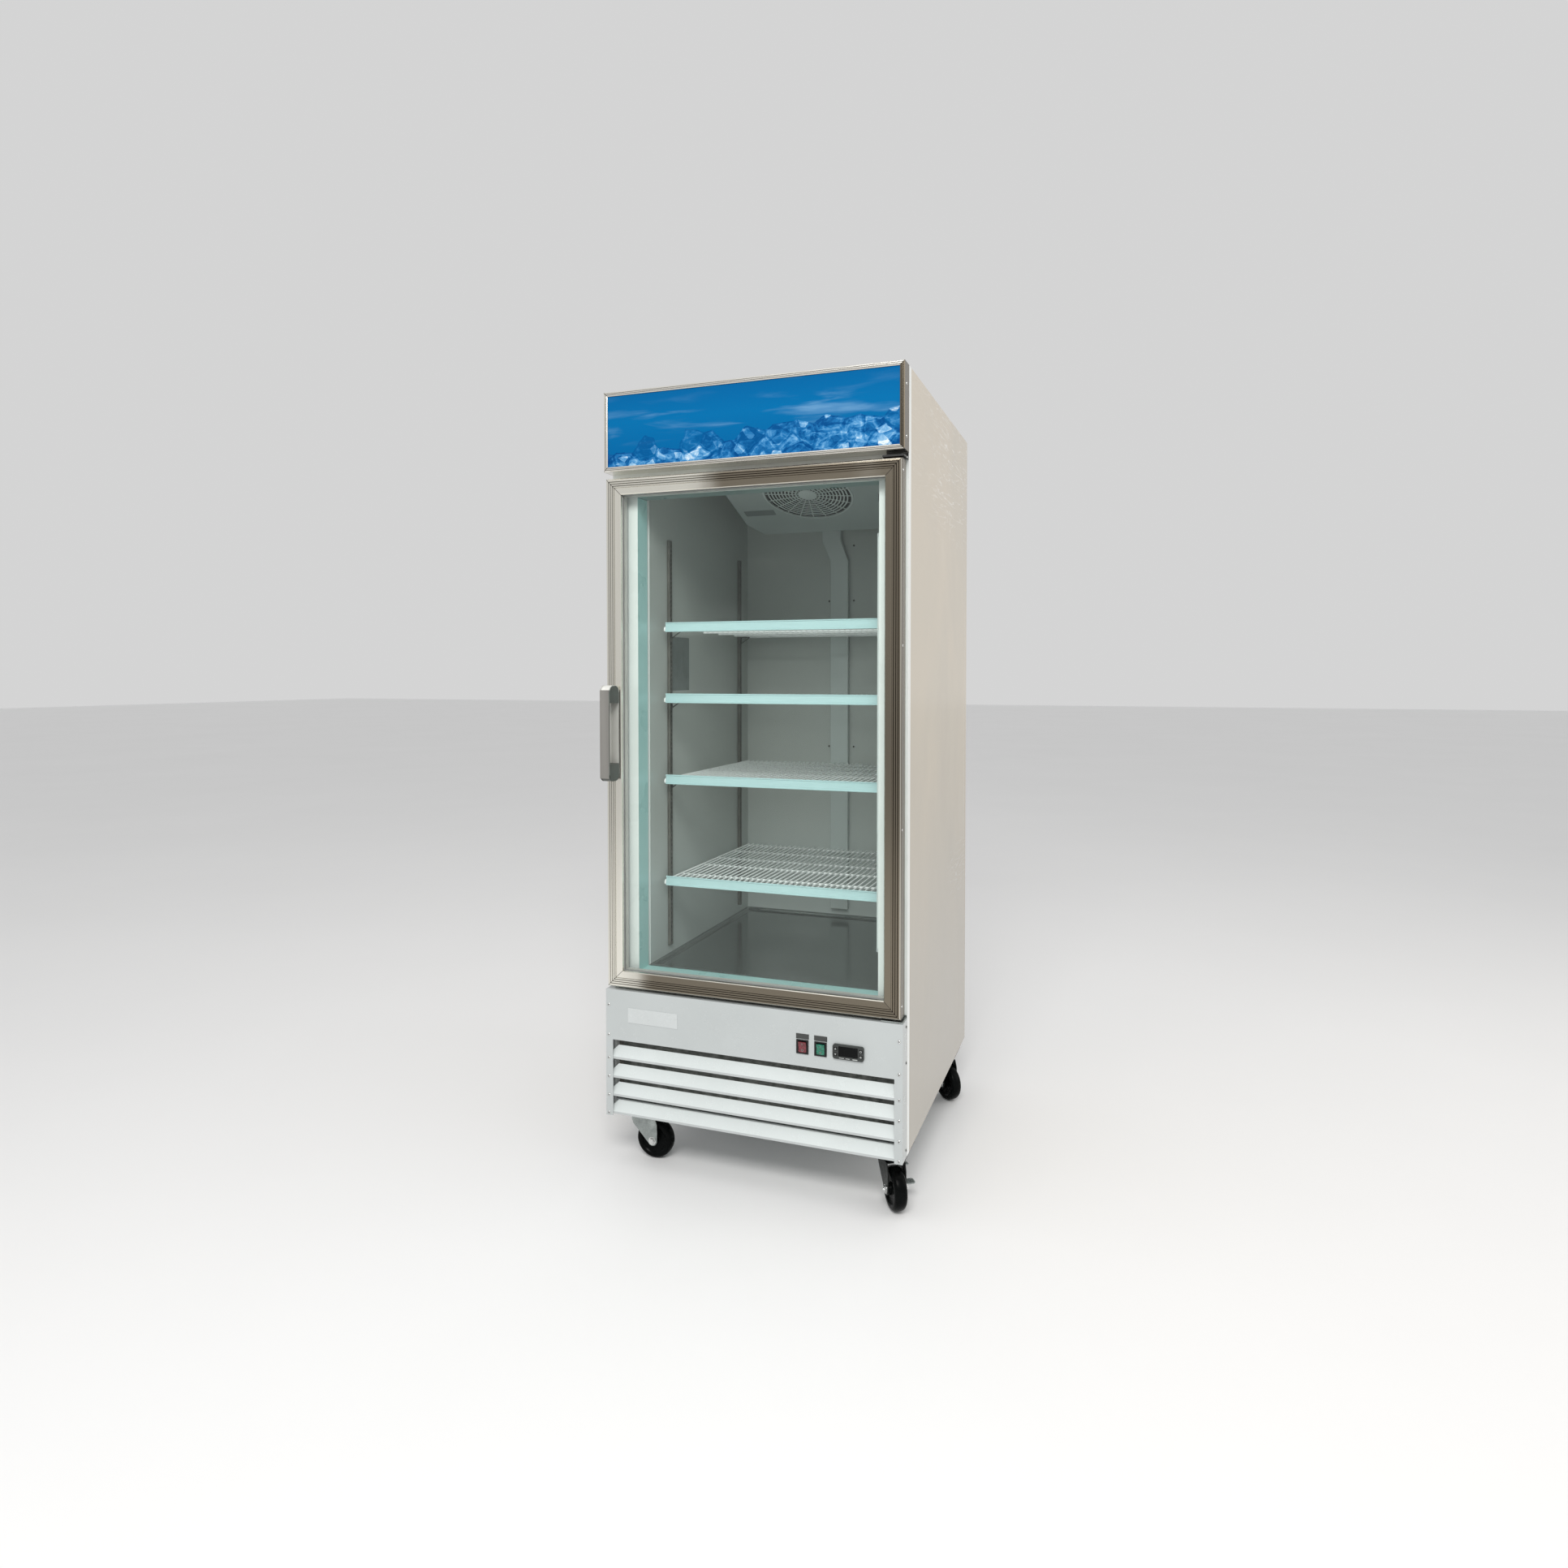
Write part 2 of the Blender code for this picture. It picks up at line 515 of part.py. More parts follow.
channel = [(-0.3755, -GAP), (-0.3755, -0.0550), (-0.3497, -0.0550), (-0.3497, -0.0500), (-0.3722, -0.0500)]
channel += [(-0.3722, -0.0040), (-0.3497, -0.0040), (-0.3497, -GAP)]
prism("handle_channel", channel, "z", 1.0200, 1.2434, handle_metal, origin=hinge)
for label, inner_z, outer_z in (("top", 1.2105, 1.2538), ("bottom", 1.0555, 1.0130)):
    way = 1.0 if label == "top" else -1.0
    end = outer_z - way * 0.0160
    side = [(-0.0043, inner_z), (-0.0043, end)]
    for y, z in arc((0.0, 0.0), 0.0160, 90.0, 0.0, 5)[::-1]:
        side.append((-0.0203 + y, end + way * z))
    for y, z in arc((0.0, 0.0), 0.0160, 90.0, 180.0, 5):
        side.append((-0.0337 + y * 0.98, end + way * z))
    side.append((-0.0497, inner_z))
    prism(f"handle_block_{label}", side, "x", -0.3719, -0.3500, grey_plastic, origin=hinge, smooth=True)

for label, seat, pin_end, flange_end in (("top", 1.7865, DOOR_TOP - 0.0140, 1.8010), ("bottom", 0.4706, DOOR_BOTTOM + 0.0140, 0.4674)):
    plate_end = 0.0040 if label == "top" else -0.0032
    low, high = sorted((seat, seat + plate_end))
    bracket = box(f"hinge_{label}", (0.3400, 0.0030, low), (0.3925, 0.0470, high), black_steel)
    flange = sorted((seat, flange_end if label == "top" else 0.4745))
    parts = [helper_box((0.3400, 0.0440, flange[0]), (0.3925, 0.0470, flange[1]))]
    pin = sorted((seat + plate_end / 2.0, pin_end))
    parts.append(helper_rod((HINGE_X, HINGE_Y), HINGE_PIN_RADIUS, pin[0], pin[1], "z"))
    combine(bracket, parts, "UNION")


# ---- header sign --------------------------------------------------------------------------------
header_rect = (-HALF_WIDTH, HALF_WIDTH, HEADER_BOTTOM, TOP)
header_loops = [(header_rect, 0.0, 0.0465), (header_rect, 0.0, 0.0020), (header_rect, 0.0015, 0.0)]
for start in (0.0035, 0.0070):
    header_loops += [(header_rect, start, 0.0), (header_rect, start + 0.0008, 0.0009), (header_rect, start + 0.0016, 0.0)]
header_loops += [
    (header_rect, HEADER_BORDER, 0.0010), (header_rect, HEADER_BORDER, 0.0024),
    (header_rect, 0.0020, 0.0024), (header_rect, 0.0020, 0.0465),
]
rectangle_sweep("header_frame", header_loops, silver_trim)
sign_inset = 0.0024
box("header_panel", (-HALF_WIDTH + sign_inset, 0.0027, HEADER_BOTTOM + sign_inset),
    (HALF_WIDTH - sign_inset, 0.0057, TOP - sign_inset), sign_blue)


# ---- inside the cold space ------------------------------------------------------------------------
def slab_grid(bm, xs, ys, filled, low, high):
    """A slab made of grid cells with open cells between, as one closed mesh."""
    corners = {}

    def corner(i, j, level):
        key = (i, j, level)
        if key not in corners:
            corners[key] = bm.verts.new((xs[i], ys[j], (low, high)[level]))
        return corners[key]

    def is_filled(i, j):
        return 0 <= i < len(xs) - 1 and 0 <= j < len(ys) - 1 and filled(i, j)

    for i in range(len(xs) - 1):
        for j in range(len(ys) - 1):
            if not is_filled(i, j):
                continue
            loop = ((i, j), (i + 1, j), (i + 1, j + 1), (i, j + 1))
            bm.faces.new([corner(a, b, 1) for a, b in loop])
            bm.faces.new([corner(a, b, 0) for a, b in reversed(loop)])
            neighbours = ((i, j - 1), (i + 1, j), (i, j + 1), (i - 1, j))
            for k, (ni, nj) in enumerate(neighbours):
                if not is_filled(ni, nj):
                    (a, b), (c, d) = loop[k], loop[(k + 1) % 4]
                    bm.faces.new((corner(a, b, 0), corner(c, d, 0), corner(c, d, 1), corner(a, b, 1)))


def even_bars(start, end, count, width):
    """Edges of equal bars spread from start to end, the first and last flush with the ends."""
    step = (end - start - width) / (count - 1)
    edges = []
    for i in range(count):
        edges += [start + i * step, start + i * step + width]
    return edges


for number, top in enumerate(SHELF_TOPS, start=1):
    bm = bmesh.new()
    wire_edges = even_bars(-SHELF_HALF, SHELF_HALF, SHELF_WIRES, SHELF_WIRE)
    rod_edges = even_bars(SHELF_FRONT, SHELF_BACK, SHELF_RODS, SHELF_WIRE)
    slab_grid(bm, wire_edges, rod_edges, lambda i, j: i % 2 == 0 or j % 2 == 0, top - SHELF_WIRE, top)
    shelf = finish(f"shelf_{number}", bm, shelf_wire)
    strip = helper_box((-SHELF_HALF - 0.0020, SHELF_FRONT - 0.0030, top - 0.0150),
                       (SHELF_HALF + 0.0020, SHELF_FRONT + 0.0010, top + 0.0100))
    combine(shelf, [strip], "UNION")

for side_label, side_sign in (("left", -1.0), ("right", 1.0)):
    for place, y in STANDARD_YS.items():
        near = side_sign * (CAVITY_HALF - GAP)
        far = side_sign * (CAVITY_HALF - 0.0095)
        lip = side_sign * (CAVITY_HALF - 0.0030)
        outline = [(near, y - 0.0095), (lip, y - 0.0095), (lip, y - 0.0060), (far, y - 0.0060), (far, y + 0.0060)]
        outline += [(lip, y + 0.0060), (lip, y + 0.0095), (near, y + 0.0095)]
        prism(f"shelf_standard_{side_label}_{place}", outline, "z", 0.5330, 1.6510, standard_steel)

jog = [(-0.0550, 1.9000), (0.0070, 1.9000), (0.0070, 1.7100), (0.0315, 1.6450), (0.0315, 0.5300)]
jog += [(-0.0270, 0.5300), (-0.0270, 1.6450), (-0.0550, 1.7100)]
duct = prism("drain_duct", jog, "y", CAVITY_BACK - 0.0195, CAVITY_BACK - GAP, pale_plastic)
round_edges(duct, 0.0020, 2)

prism("interior_lamp", [(CAVITY_HALF - GAP, 0.1060), (CAVITY_HALF - 0.0060, 0.1030), (0.3016, 0.1100),
                        (0.3016, 0.1180), (CAVITY_HALF - 0.0060, 0.1270), (CAVITY_HALF - GAP, 0.1270)],
        "z", 0.6000, 1.6265, lamp_white)


def cover_height(y):
    return 1.8205 - EVAPORATOR_SLOPE * (y - 0.4201)


def evaporator_cover():
    bm = bmesh.new()
    wall = 0.0020
    rings = []
    for inset, lift, top_first in ((0.0, 0.0, True), (wall, wall, False)):
        half = EVAPORATOR_HALF - inset
        front, rear = EVAPORATOR_FRONT + inset, EVAPORATOR_REAR - inset
        corner = 0.2090 - inset * 0.6
        plan = [(-half, front), (half, front), (half, 0.6160), (corner, rear), (-corner, rear), (-half, 0.6160)]
        upper = [bm.verts.new((x, y, CAVITY_CEILING - GAP)) for x, y in plan]
        lower = [bm.verts.new((x, y, cover_height(y) + lift)) for x, y in plan]
        rings += [upper, lower] if top_first else [lower, upper]
    outer_top, outer_low, inner_low, inner_top = rings
    bm.faces.new(outer_low)
    bm.faces.new(inner_low)
    for first, second in ((outer_top, outer_low), (inner_low, inner_top), (inner_top, outer_top)):
        for i in range(6):
            j = (i + 1) % 6
            bm.faces.new((first[i], second[i], second[j], first[j]))
    return finish("evaporator_cover", bm, pale_plastic)


def polar_grille(bm, radii, spokes, spoke_share, low, high):
    """A round guard about local Z, as one closed mesh: a disc, then open bands with spokes between rings."""
    segments = spokes * 2
    angles = []
    for i in range(spokes):
        base = 2.0 * math.pi * i / spokes
        half = math.pi / spokes * spoke_share
        angles += [base - half, base + half]
    corners = {}

    def corner(i, j, level):
        key = (i, j % segments, level)
        if key not in corners:
            angle = angles[j % segments]
            corners[key] = bm.verts.new((radii[i] * math.cos(angle), radii[i] * math.sin(angle), (low, high)[level]))
        return corners[key]

    def wall(a, b):
        bm.faces.new((corner(*a, 0), corner(*b, 0), corner(*b, 1), corner(*a, 1)))

    last = len(radii) - 2
    for j in range(segments):
        between_spokes = j % 2 == 1
        if between_spokes:
            wall((0, j), (0, j + 1))
        for i in range(last + 1):
            is_ring = i % 2 == 1
            if between_spokes and not is_ring:
                continue
            loop = ((i, j), (i + 1, j), (i + 1, j + 1), (i, j + 1))
            bm.faces.new([corner(a, b, 1) for a, b in loop])
            bm.faces.new([corner(a, b, 0) for a, b in reversed(loop)])
            if is_ring and between_spokes:
                wall((i, j), (i, j + 1))
            if is_ring and (between_spokes or i == last):
                wall((i + 1, j), (i + 1, j + 1))
            if not is_ring:
                wall((i, j), (i + 1, j))
                wall((i, j + 1), (i + 1, j + 1))
    bm.faces.new([corner(0, j, 1) for j in range(segments)])
    bm.faces.new([corner(0, j, 0) for j in reversed(range(segments))])


def rotor(name, radius, blades, hub_radius, depth, bore, look):
    """A fan rotor about local Z: a hub with a bore and flat pitched blades."""
    profile = [(bore, -depth / 2.0), (hub_radius, -depth / 2.0), (hub_radius, depth / 2.0), (bore, depth / 2.0)]
    hub = lathe(name, profile, "z", 24, look, closed=True)
    pieces = []
    for i in range(blades):
        bm = bmesh.new()
        box_mesh(bm, (hub_radius - 0.004, -radius * 0.20, -0.0010), (radius, radius * 0.24, 0.0010))
        bmesh.ops.rotate(bm, verts=bm.verts, cent=(0.0, 0.0, 0.0), matrix=Matrix.Rotation(math.radians(24.0), 3, "X"))
        bmesh.ops.rotate(bm, verts=bm.verts, cent=(0.0, 0.0, 0.0), matrix=Matrix.Rotation(2.0 * math.pi * i / blades, 3, "Z"))
        pieces.append(finish("helper", bm, None))
    combine(hub, pieces, "UNION")
    return [hub] + pieces


fan_tilt = math.atan(EVAPORATOR_SLOPE)
fan_place = Matrix.Translation(Vector((0.0, FAN_Y, cover_height(FAN_Y))) + SHIFT) @ Matrix.Rotation(-fan_tilt, 4, "X")
cover = evaporator_cover()
fan_hole = helper_rod((0.0, 0.0), FAN_HOLE_RADIUS, -0.0300, 0.0300, "z", 32)
fan_hole.matrix_world = fan_place
combine(cover, [fan_hole], "DIFFERENCE")
guard_mesh = bmesh.new()
guard_radii = [0.0300, 0.0580, 0.0620, 0.0890, 0.0930, 0.1210, 0.1320]
polar_grille(guard_mesh, guard_radii, 12, 0.16, -0.0004, 0.0022)
guard = finish("helper", guard_mesh, None)
guard.matrix_world = fan_place
motor = helper_rod((0.0, 0.0), 0.0280, 0.0010, 0.0300, "z", 24)
motor.matrix_world = fan_place
shaft = helper_rod((0.0, 0.0), 0.0030, 0.0280, 0.0560, "z", 24)
shaft.matrix_world = fan_place
combine(cover, [guard, motor, shaft], "UNION")
for piece in rotor("evaporator_fan", 0.1120, 5, 0.0240, 0.0180, 0.0030 + BORE_CLEARANCE, grey_plastic):
    piece.matrix_world = fan_place @ Matrix.Translation((0.0, 0.0, 0.0420))


def fin_block(name, low, high, fins, look):
    """A coil block whose top and bottom are combed into fins along X."""
    (x0, y0, z0), (x1, y1, z1) = low, high
    pitch = (x1 - x0) / (2 * fins - 1)
    top, bottom = [], []
    for i in range(2 * fins - 1):
        a, b = x0 + i * pitch, x0 + (i + 1) * pitch
        deep = i % 2 == 1
        reach = 0.010 if deep else 0.0
        top += [(a, z1 - reach), (b, z1 - reach)]
        bottom += [(a, z0 + reach), (b, z0 + reach)]
    return prism(name, top + bottom[::-1], "y", y0, y1, look)


fin_block("evaporator_coil", (-0.2000, 0.6080, 1.7750), (0.2000, 0.6640, 1.9050), 17, fin_metal)


# ---- machine space --------------------------------------------------------------------------------
tray_top = UNDERSIDE + SHEET + GAP
condenser = fin_block("condenser", (-0.2100, 0.0900, tray_top), (0.1300, 0.1450, 0.4300), 15, fin_metal)
condenser_parts = []
for x in (-0.1900, 0.1000):
    condenser_parts.append(helper_box((x, 0.1400, 0.2740), (x + 0.0100, 0.2400, 0.2860)))
condenser_parts.append(helper_box((-0.1900, 0.2340, 0.2740), (0.1100, 0.2400, 0.2860)))
condenser_parts.append(helper_rod((-0.0400, 0.2800), 0.0300, 0.2100, 0.2600, "y"))
condenser_parts.append(helper_rod((-0.0400, 0.2800), 0.0030, 0.1720, 0.2120, "y"))
combine(condenser, condenser_parts, "UNION")
fan_centre = Matrix.Translation(Vector((-0.0400, 0.1900, 0.2800)) + SHIFT) @ Matrix.Rotation(math.radians(-90.0), 4, "X")
for piece in rotor("condenser_fan", 0.1000, 5, 0.0260, 0.0180, 0.0030 + BORE_CLEARANCE, black_plastic):
    piece.matrix_world = fan_centre

compressor_profile = [(0.0, 0.0120), (0.0600, 0.0140), (0.0800, 0.0300), (0.0830, 0.0500), (0.0830, 0.1000)]
compressor_profile += [(0.0860, 0.1010), (0.0860, 0.1050), (0.0810, 0.1060), (0.0780, 0.1500), (0.0600, 0.1720), (0.0, 0.1800)]
compressor_place = (0.1200, 0.5600, tray_top)
compressor = lathe("compressor", compressor_profile, "z", 22, black_steel, compressor_place)
feet = [helper_box((-0.1000, -0.0200, 0.0060), (0.1000, 0.0200, 0.0200), compressor_place),
        helper_box((-0.1000, -0.0900, 0.0060), (-0.0700, 0.0900, 0.0100), compressor_place),
        helper_box((0.0700, -0.0900, 0.0060), (0.1000, 0.0900, 0.0100), compressor_place)]
for x in (-0.085, 0.085):
    for y in (-0.075, 0.075):
        feet.append(helper_rod((x, y), 0.0120, 0.0, 0.0080, "z", 8, compressor_place))
combine(compressor, feet, "UNION")
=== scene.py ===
"""Looks for a glass-door reach-in refrigerator on casters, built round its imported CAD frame.

Lengths are metres. Shapes are laid out in a cabinet frame (x = 0 on the centre line, y = 0 on the
door's front, z = 0 on the floor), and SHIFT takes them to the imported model's frame.
"""
import math

import bmesh
import bpy
from mathutils import Matrix, Vector


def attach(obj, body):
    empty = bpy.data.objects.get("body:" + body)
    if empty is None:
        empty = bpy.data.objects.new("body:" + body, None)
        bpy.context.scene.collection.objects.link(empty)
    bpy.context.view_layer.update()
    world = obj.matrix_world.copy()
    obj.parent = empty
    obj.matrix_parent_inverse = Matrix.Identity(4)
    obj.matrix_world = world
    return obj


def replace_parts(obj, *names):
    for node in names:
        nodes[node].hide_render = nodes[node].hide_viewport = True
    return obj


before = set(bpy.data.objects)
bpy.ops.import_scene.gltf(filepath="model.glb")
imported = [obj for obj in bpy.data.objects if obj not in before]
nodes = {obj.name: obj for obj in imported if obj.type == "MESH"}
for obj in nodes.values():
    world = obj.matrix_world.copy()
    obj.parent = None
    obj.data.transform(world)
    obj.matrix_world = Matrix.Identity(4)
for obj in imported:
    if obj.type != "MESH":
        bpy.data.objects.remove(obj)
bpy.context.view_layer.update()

# ---- dimensions, in the cabinet frame ------------------------------------------------------------
SHIFT = Vector((-0.0096, -0.406, 0.0))
HALF_WIDTH = 0.3935
BACK = 0.867
TOP = 2.005
CAVITY_HALF = 0.3205
CAVITY_CEILING = 1.92
CAVITY_FRONT = 0.1006
CAVITY_BACK = 0.805
DOOR_HALF = 0.3877
DOOR_BOTTOM = 0.475
DOOR_TOP = 1.7834
HEADER_BOTTOM = 1.802
SHELF_TOPS = (0.725, 1.001, 1.221, 1.413)
STANDARD_YS = {"front": 0.22, "rear": 0.723}
SWITCH_CENTRES = {"power": 0.1466, "light": 0.1926}
SWITCH_Z = 0.3843
CONTROLLER = (0.2623, 0.3854)
# stem's x and y, heading in degrees, and whether it has a brake
CASTERS = {
    "front_left": (-0.33, 0.092, 0.0, True),
    "front_right": (0.345, 0.082, -57.0, True),
    "rear_left": (-0.33, 0.735, 24.0, False),
    "rear_right": (0.345, 0.735, -44.0, False),
}
SIDES = (-1.0, 1.0)
FORWARD = (0.0, -1.0, 0.0)
SCREW_TURN = 42.5                # degrees between one screw's recess and the next
LOUVRE_LOWS = (0.14, 0.1865, 0.2345, 0.284)
LOUVRE_HALF = 0.3905
LOUVRE_LIP_FACES = 3             # the section's first faces, in the darker plinth enamel as painted shade on the lip
ROCKER_REST = 8.0
KEY_X = 0.0312                   # the controller's keys, from its centre
KEY_Z = 0.0065
KEY_HALF = 0.0043
WIRE_COUNT = 39
WIRE_SPAN = 0.3064
ROD_YS = (0.19, 0.28, 0.425, 0.535, 0.66, 0.77)
STRIP_FRONT = 0.166
STANDARD_LOW = 0.533
STANDARD_HIGH = 1.651
SLOT_PITCH = 0.0127
SLOT_HEIGHT = 0.007
BLADE_LIFT = 0.012
FIN_COUNT = 90
PIPE_ROWS = 11
CASTER_TRAIL = 0.034
WHEEL_RADIUS = 0.051
FAN_SLOPE = 0.3743
FAN_Y = 0.4736
FAN_HOLE = 0.129
FAN_TILT = math.atan(FAN_SLOPE)


# ---- material nodes ------------------------------------------------------------------------------
class Look:
    """A Principled material, and short calls for the nodes that feed it."""

    def __init__(self, name, colour=(0.8, 0.8, 0.8), roughness=0.5, metallic=0.0, **sockets):
        self.material = bpy.data.materials.new(name)
        self.material.use_nodes = True
        self.tree = self.material.node_tree
        self.shader = self.tree.nodes["Principled BSDF"]
        self.output = self.tree.nodes["Material Output"]
        self.material.diffuse_color = (*colour, 1.0)
        self.set("Base Color", (*colour, 1.0))
        self.set("Roughness", roughness)
        self.set("Metallic", metallic)
        for key, value in sockets.items():
            self.set(key.replace("_", " "), value)

    def set(self, socket, value):
        self.plug(self.shader.inputs[socket], value)

    def plug(self, socket, value):
        if isinstance(value, bpy.types.NodeSocket):
            self.tree.links.new(value, socket)
        else:
            socket.default_value = value

    def node(self, kind, inputs=None, **props):
        made = self.tree.nodes.new(kind)
        for key, value in props.items():
            setattr(made, key, value)
        for key, value in (inputs or {}).items():
            self.plug(made.inputs[key], value)
        return made

    def place(self, scale=(1.0, 1.0, 1.0), offset=(0.0, 0.0, 0.0), source=None):
        source = source or self.node("ShaderNodeTexCoord").outputs["Object"]
        inputs = {"Vector": source, "Location": offset, "Scale": scale}
        return self.node("ShaderNodeMapping", inputs).outputs["Vector"]

    def axes(self, vector=None):
        vector = vector or self.place(offset=tuple(-SHIFT))
        return list(self.node("ShaderNodeSeparateXYZ", {0: vector}).outputs)

    def noise(self, vector, scale, detail=3.0, rough=0.5, distortion=0.0, out="Fac"):
        inputs = {"Vector": vector, "Scale": scale, "Detail": detail, "Roughness": rough,
                  "Distortion": distortion}
        return self.node("ShaderNodeTexNoise", inputs).outputs[out]

    def math(self, operation, a, b=0.0, clamp=False):
        return self.node("ShaderNodeMath", {0: a, 1: b}, operation=operation, use_clamp=clamp).outputs[0]

    def times(self, a, b):
        return self.math("MULTIPLY", a, b)

    def plus(self, a, b):
        return self.math("ADD", a, b)

    def less(self, a, b):
        return self.math("SUBTRACT", a, b)

    def apart(self, a, b):
        """How far two values are apart."""
        return self.math("ABSOLUTE", self.less(a, b))

    def span(self, value, low, high, to_low=0.0, to_high=1.0, kind="LINEAR"):
        """Takes a value from one range to another."""
        inputs = {"Value": value, "From Min": low, "From Max": high, "To Min": to_low, "To Max": to_high}
        return self.node("ShaderNodeMapRange", inputs, interpolation_type=kind).outputs[0]

    def ease(self, value, low, high, to_low=0.0, to_high=1.0):
        return self.span(value, low, high, to_low, to_high, "SMOOTHSTEP")

    def blend(self, cloud, a, b):
        """Mixes two colours by the middle range of a noise."""
        return self.mix(self.span(cloud, 0.3, 0.7), a, b)

    def gloss(self, cloud, low, high):
        """Sets the roughness by the middle range of a noise."""
        self.set("Roughness", self.span(cloud, 0.3, 0.7, low, high))

    def waves(self, scale, distortion, detail, direction):
        inputs = {"Vector": self.place(), "Scale": scale, "Distortion": distortion, "Detail": detail}
        made = self.node("ShaderNodeTexWave", inputs, wave_type="BANDS", bands_direction=direction)
        return made.outputs["Fac"]

    def mix(self, share, a, b, blend="MIX"):
        made = self.node("ShaderNodeMix", data_type="RGBA", blend_type=blend)
        self.plug(made.inputs[0], share)
        for index, value in ((6, a), (7, b)):
            if not isinstance(value, bpy.types.NodeSocket):
                value = (*value, 1.0)
            self.plug(made.inputs[index], value)
        return made.outputs[2]

    def ramp(self, value, stops):
        made = self.node("ShaderNodeValToRGB", {"Fac": value})
        band = made.color_ramp
        while len(band.elements) < len(stops):
            band.elements.new(0.5)
        for element, (position, colour) in zip(band.elements, stops):
            element.position = position
            element.color = (*colour, 1.0)
        return made.outputs["Color"]

    def bump(self, height, distance, strength=1.0, after=None):
        inputs = {"Height": height, "Distance": distance, "Strength": strength}
        if after is not None:
            inputs["Normal"] = after
        made = self.node("ShaderNodeBump", inputs)
        self.set("Normal", made.outputs["Normal"])
        return made.outputs["Normal"]


def finish_look(name, colour, roughness, metallic=0.0, vary=0.05, patch=7.0, grain=700.0, relief=0.00002,
                spread=0.08, stretch=(1.0, 1.0, 1.0), dust=0.0, **sockets):
    """A finish with cloudy colour, uneven gloss and a fine surface grain, dustier where it faces up."""
    look = Look(name, colour, roughness, metallic, **sockets)
    where = look.place(stretch)
    cloud = look.noise(where, patch, 4.0, 0.55)
    dark = tuple(c * (1.0 - vary) for c in colour)
    light = tuple(min(1.0, c * (1.0 + vary)) for c in colour)
    shade = look.blend(cloud, dark, light)
    fine = look.noise(where, grain, 2.0, 0.6)
    smear = look.noise(where, patch * 3.1, 5.0, 0.65)
    uneven = look.plus(smear, look.times(fine, 0.35))
    rough = look.span(uneven, 0.45, 0.9, max(0.02, roughness - spread), min(1.0, roughness + spread))
    if dust:
        upward = look.axes(look.node("ShaderNodeNewGeometry").outputs["Normal"])[2]
        settled = look.times(look.span(upward, 0.6, 1.0), look.span(smear, 0.35, 0.75))
        settled = look.times(settled, dust)
        shade = look.mix(settled, shade, (0.42, 0.41, 0.38))
        rough = look.math("ADD", rough, look.times(settled, 0.4), clamp=True)
    look.set("Base Color", shade)
    look.set("Roughness", rough)
    look.bump(fine, relief)
    return look


def extrusion_look(name, low, high, light, dark, grooves, ridge_highlights, drift, band, low_rail, post):
    """Drawn aluminium in a mitred frame: grain runs along each length, with a seam at each corner.

    grooves are (start, end, depth) from the outer edge, each painted as a dark line of shade in its recess,
    and ridges are painted highlights along the ribs. dark is the brown tone of painted reflection and
    shade. drift is painted reflection added from the left end to the right, band a darker band of painted
    reflection across the rails' middle, low_rail the painted shade at the bottom rail and post the painted
    shade at the top and the foot of the right post.
    """
    look = Look(name, light, 0.2, 1.0, Anisotropic=0.55)
    x, _, z = look.axes()
    to_side = look.less(high[0], look.math("ABSOLUTE", x))
    to_rail = look.math("MINIMUM", look.less(z, low[1]), look.less(high[1], z))
    lean = look.less(to_side, to_rail)
    upright = look.math("LESS_THAN", lean, 0.0)
    along_x = look.place((1.5, 170.0, 170.0))
    along_z = look.place((170.0, 170.0, 1.5))
    which = look.node("ShaderNodeMix", data_type="VECTOR")
    look.plug(which.inputs[0], upright)
    look.plug(which.inputs[4], along_x)
    look.plug(which.inputs[5], along_z)
    grain = look.noise(which.outputs[1], 2.2, 3.0, 0.6)
    # noise patches of painted reflection, brown and light
    reflection_patches = look.noise(look.place((2.2, 2.2, 1.4)), 2.0, 3.0, 0.5)
    # a darker band of painted reflection across the rails' middle
    middle = look.ease(look.apart(x, 0.06), 0.04, 0.26, band, 0.0)
    rail = look.times(middle, look.less(1.0, upright))
    # painted reflection: the noise patches plus drift, added from the left end to the right; the rails'
    # band and the painted shade are taken off it
    reflection_and_shade = look.plus(look.span(reflection_patches, 0.0, 1.0, 0.15, 0.85), look.span(x, -high[0], high[0], *drift))
    reflection_and_shade = look.less(reflection_and_shade, rail)
    # painted shade: the bottom rail away from its left end, and the top and the foot of the right post
    under = look.times(look.span(z, low[1] + 0.06, low[1] + 0.04, 0.0, low_rail), look.less(1.0, upright))
    under = look.times(under, look.ease(x, -high[0] * 0.95, -high[0] * 0.62))
    right = look.times(look.math("GREATER_THAN", x, 0.0), upright)
    under = look.plus(under, look.times(right, look.span(z, high[1], low[1], *post)))
    reflection_and_shade = look.less(reflection_and_shade, under)
    shade = look.mix(look.ease(reflection_and_shade, 0.3, 0.7), dark, light)
    # the shade mask pulls the colour further towards a very dark tone: painted shade
    shade = look.mix(look.math("MULTIPLY", under, 0.85, clamp=True), shade, tuple(c * 0.5 for c in dark))
    shade = look.mix(look.span(grain, 0.2, 0.8, 0.0, 0.14), shade, dark)
    inset = look.math("MINIMUM", to_side, to_rail)
    # each groove is painted as a dark line: painted shade in the recess
    for start, end, depth in grooves:
        middle, half = (start + end) / 2.0, (end - start) / 2.0
        away = look.apart(inset, middle)
        line = look.times(look.span(away, half * 0.7, half * 1.3, 1.0, 0.0), depth)
        shade = look.mix(line, shade, tuple(c * 0.25 for c in dark))
    # painted highlights: bright lines along the ribs
    for centre in ridge_highlights:
        away = look.apart(inset, centre)
        shade = look.mix(look.span(away, 0.0004, 0.0013, 0.75, 0.0), shade, light)
    gap = look.span(look.math("ABSOLUTE", lean), 0.0005, 0.0013, 0.9, 0.0)
    shade = look.mix(gap, shade, (0.05, 0.045, 0.04))
    look.set("Base Color", shade)
    look.set("Roughness", look.span(grain, 0.2, 0.8, 0.14, 0.3))
    look.bump(grain, 0.00001, 0.4)
    return look


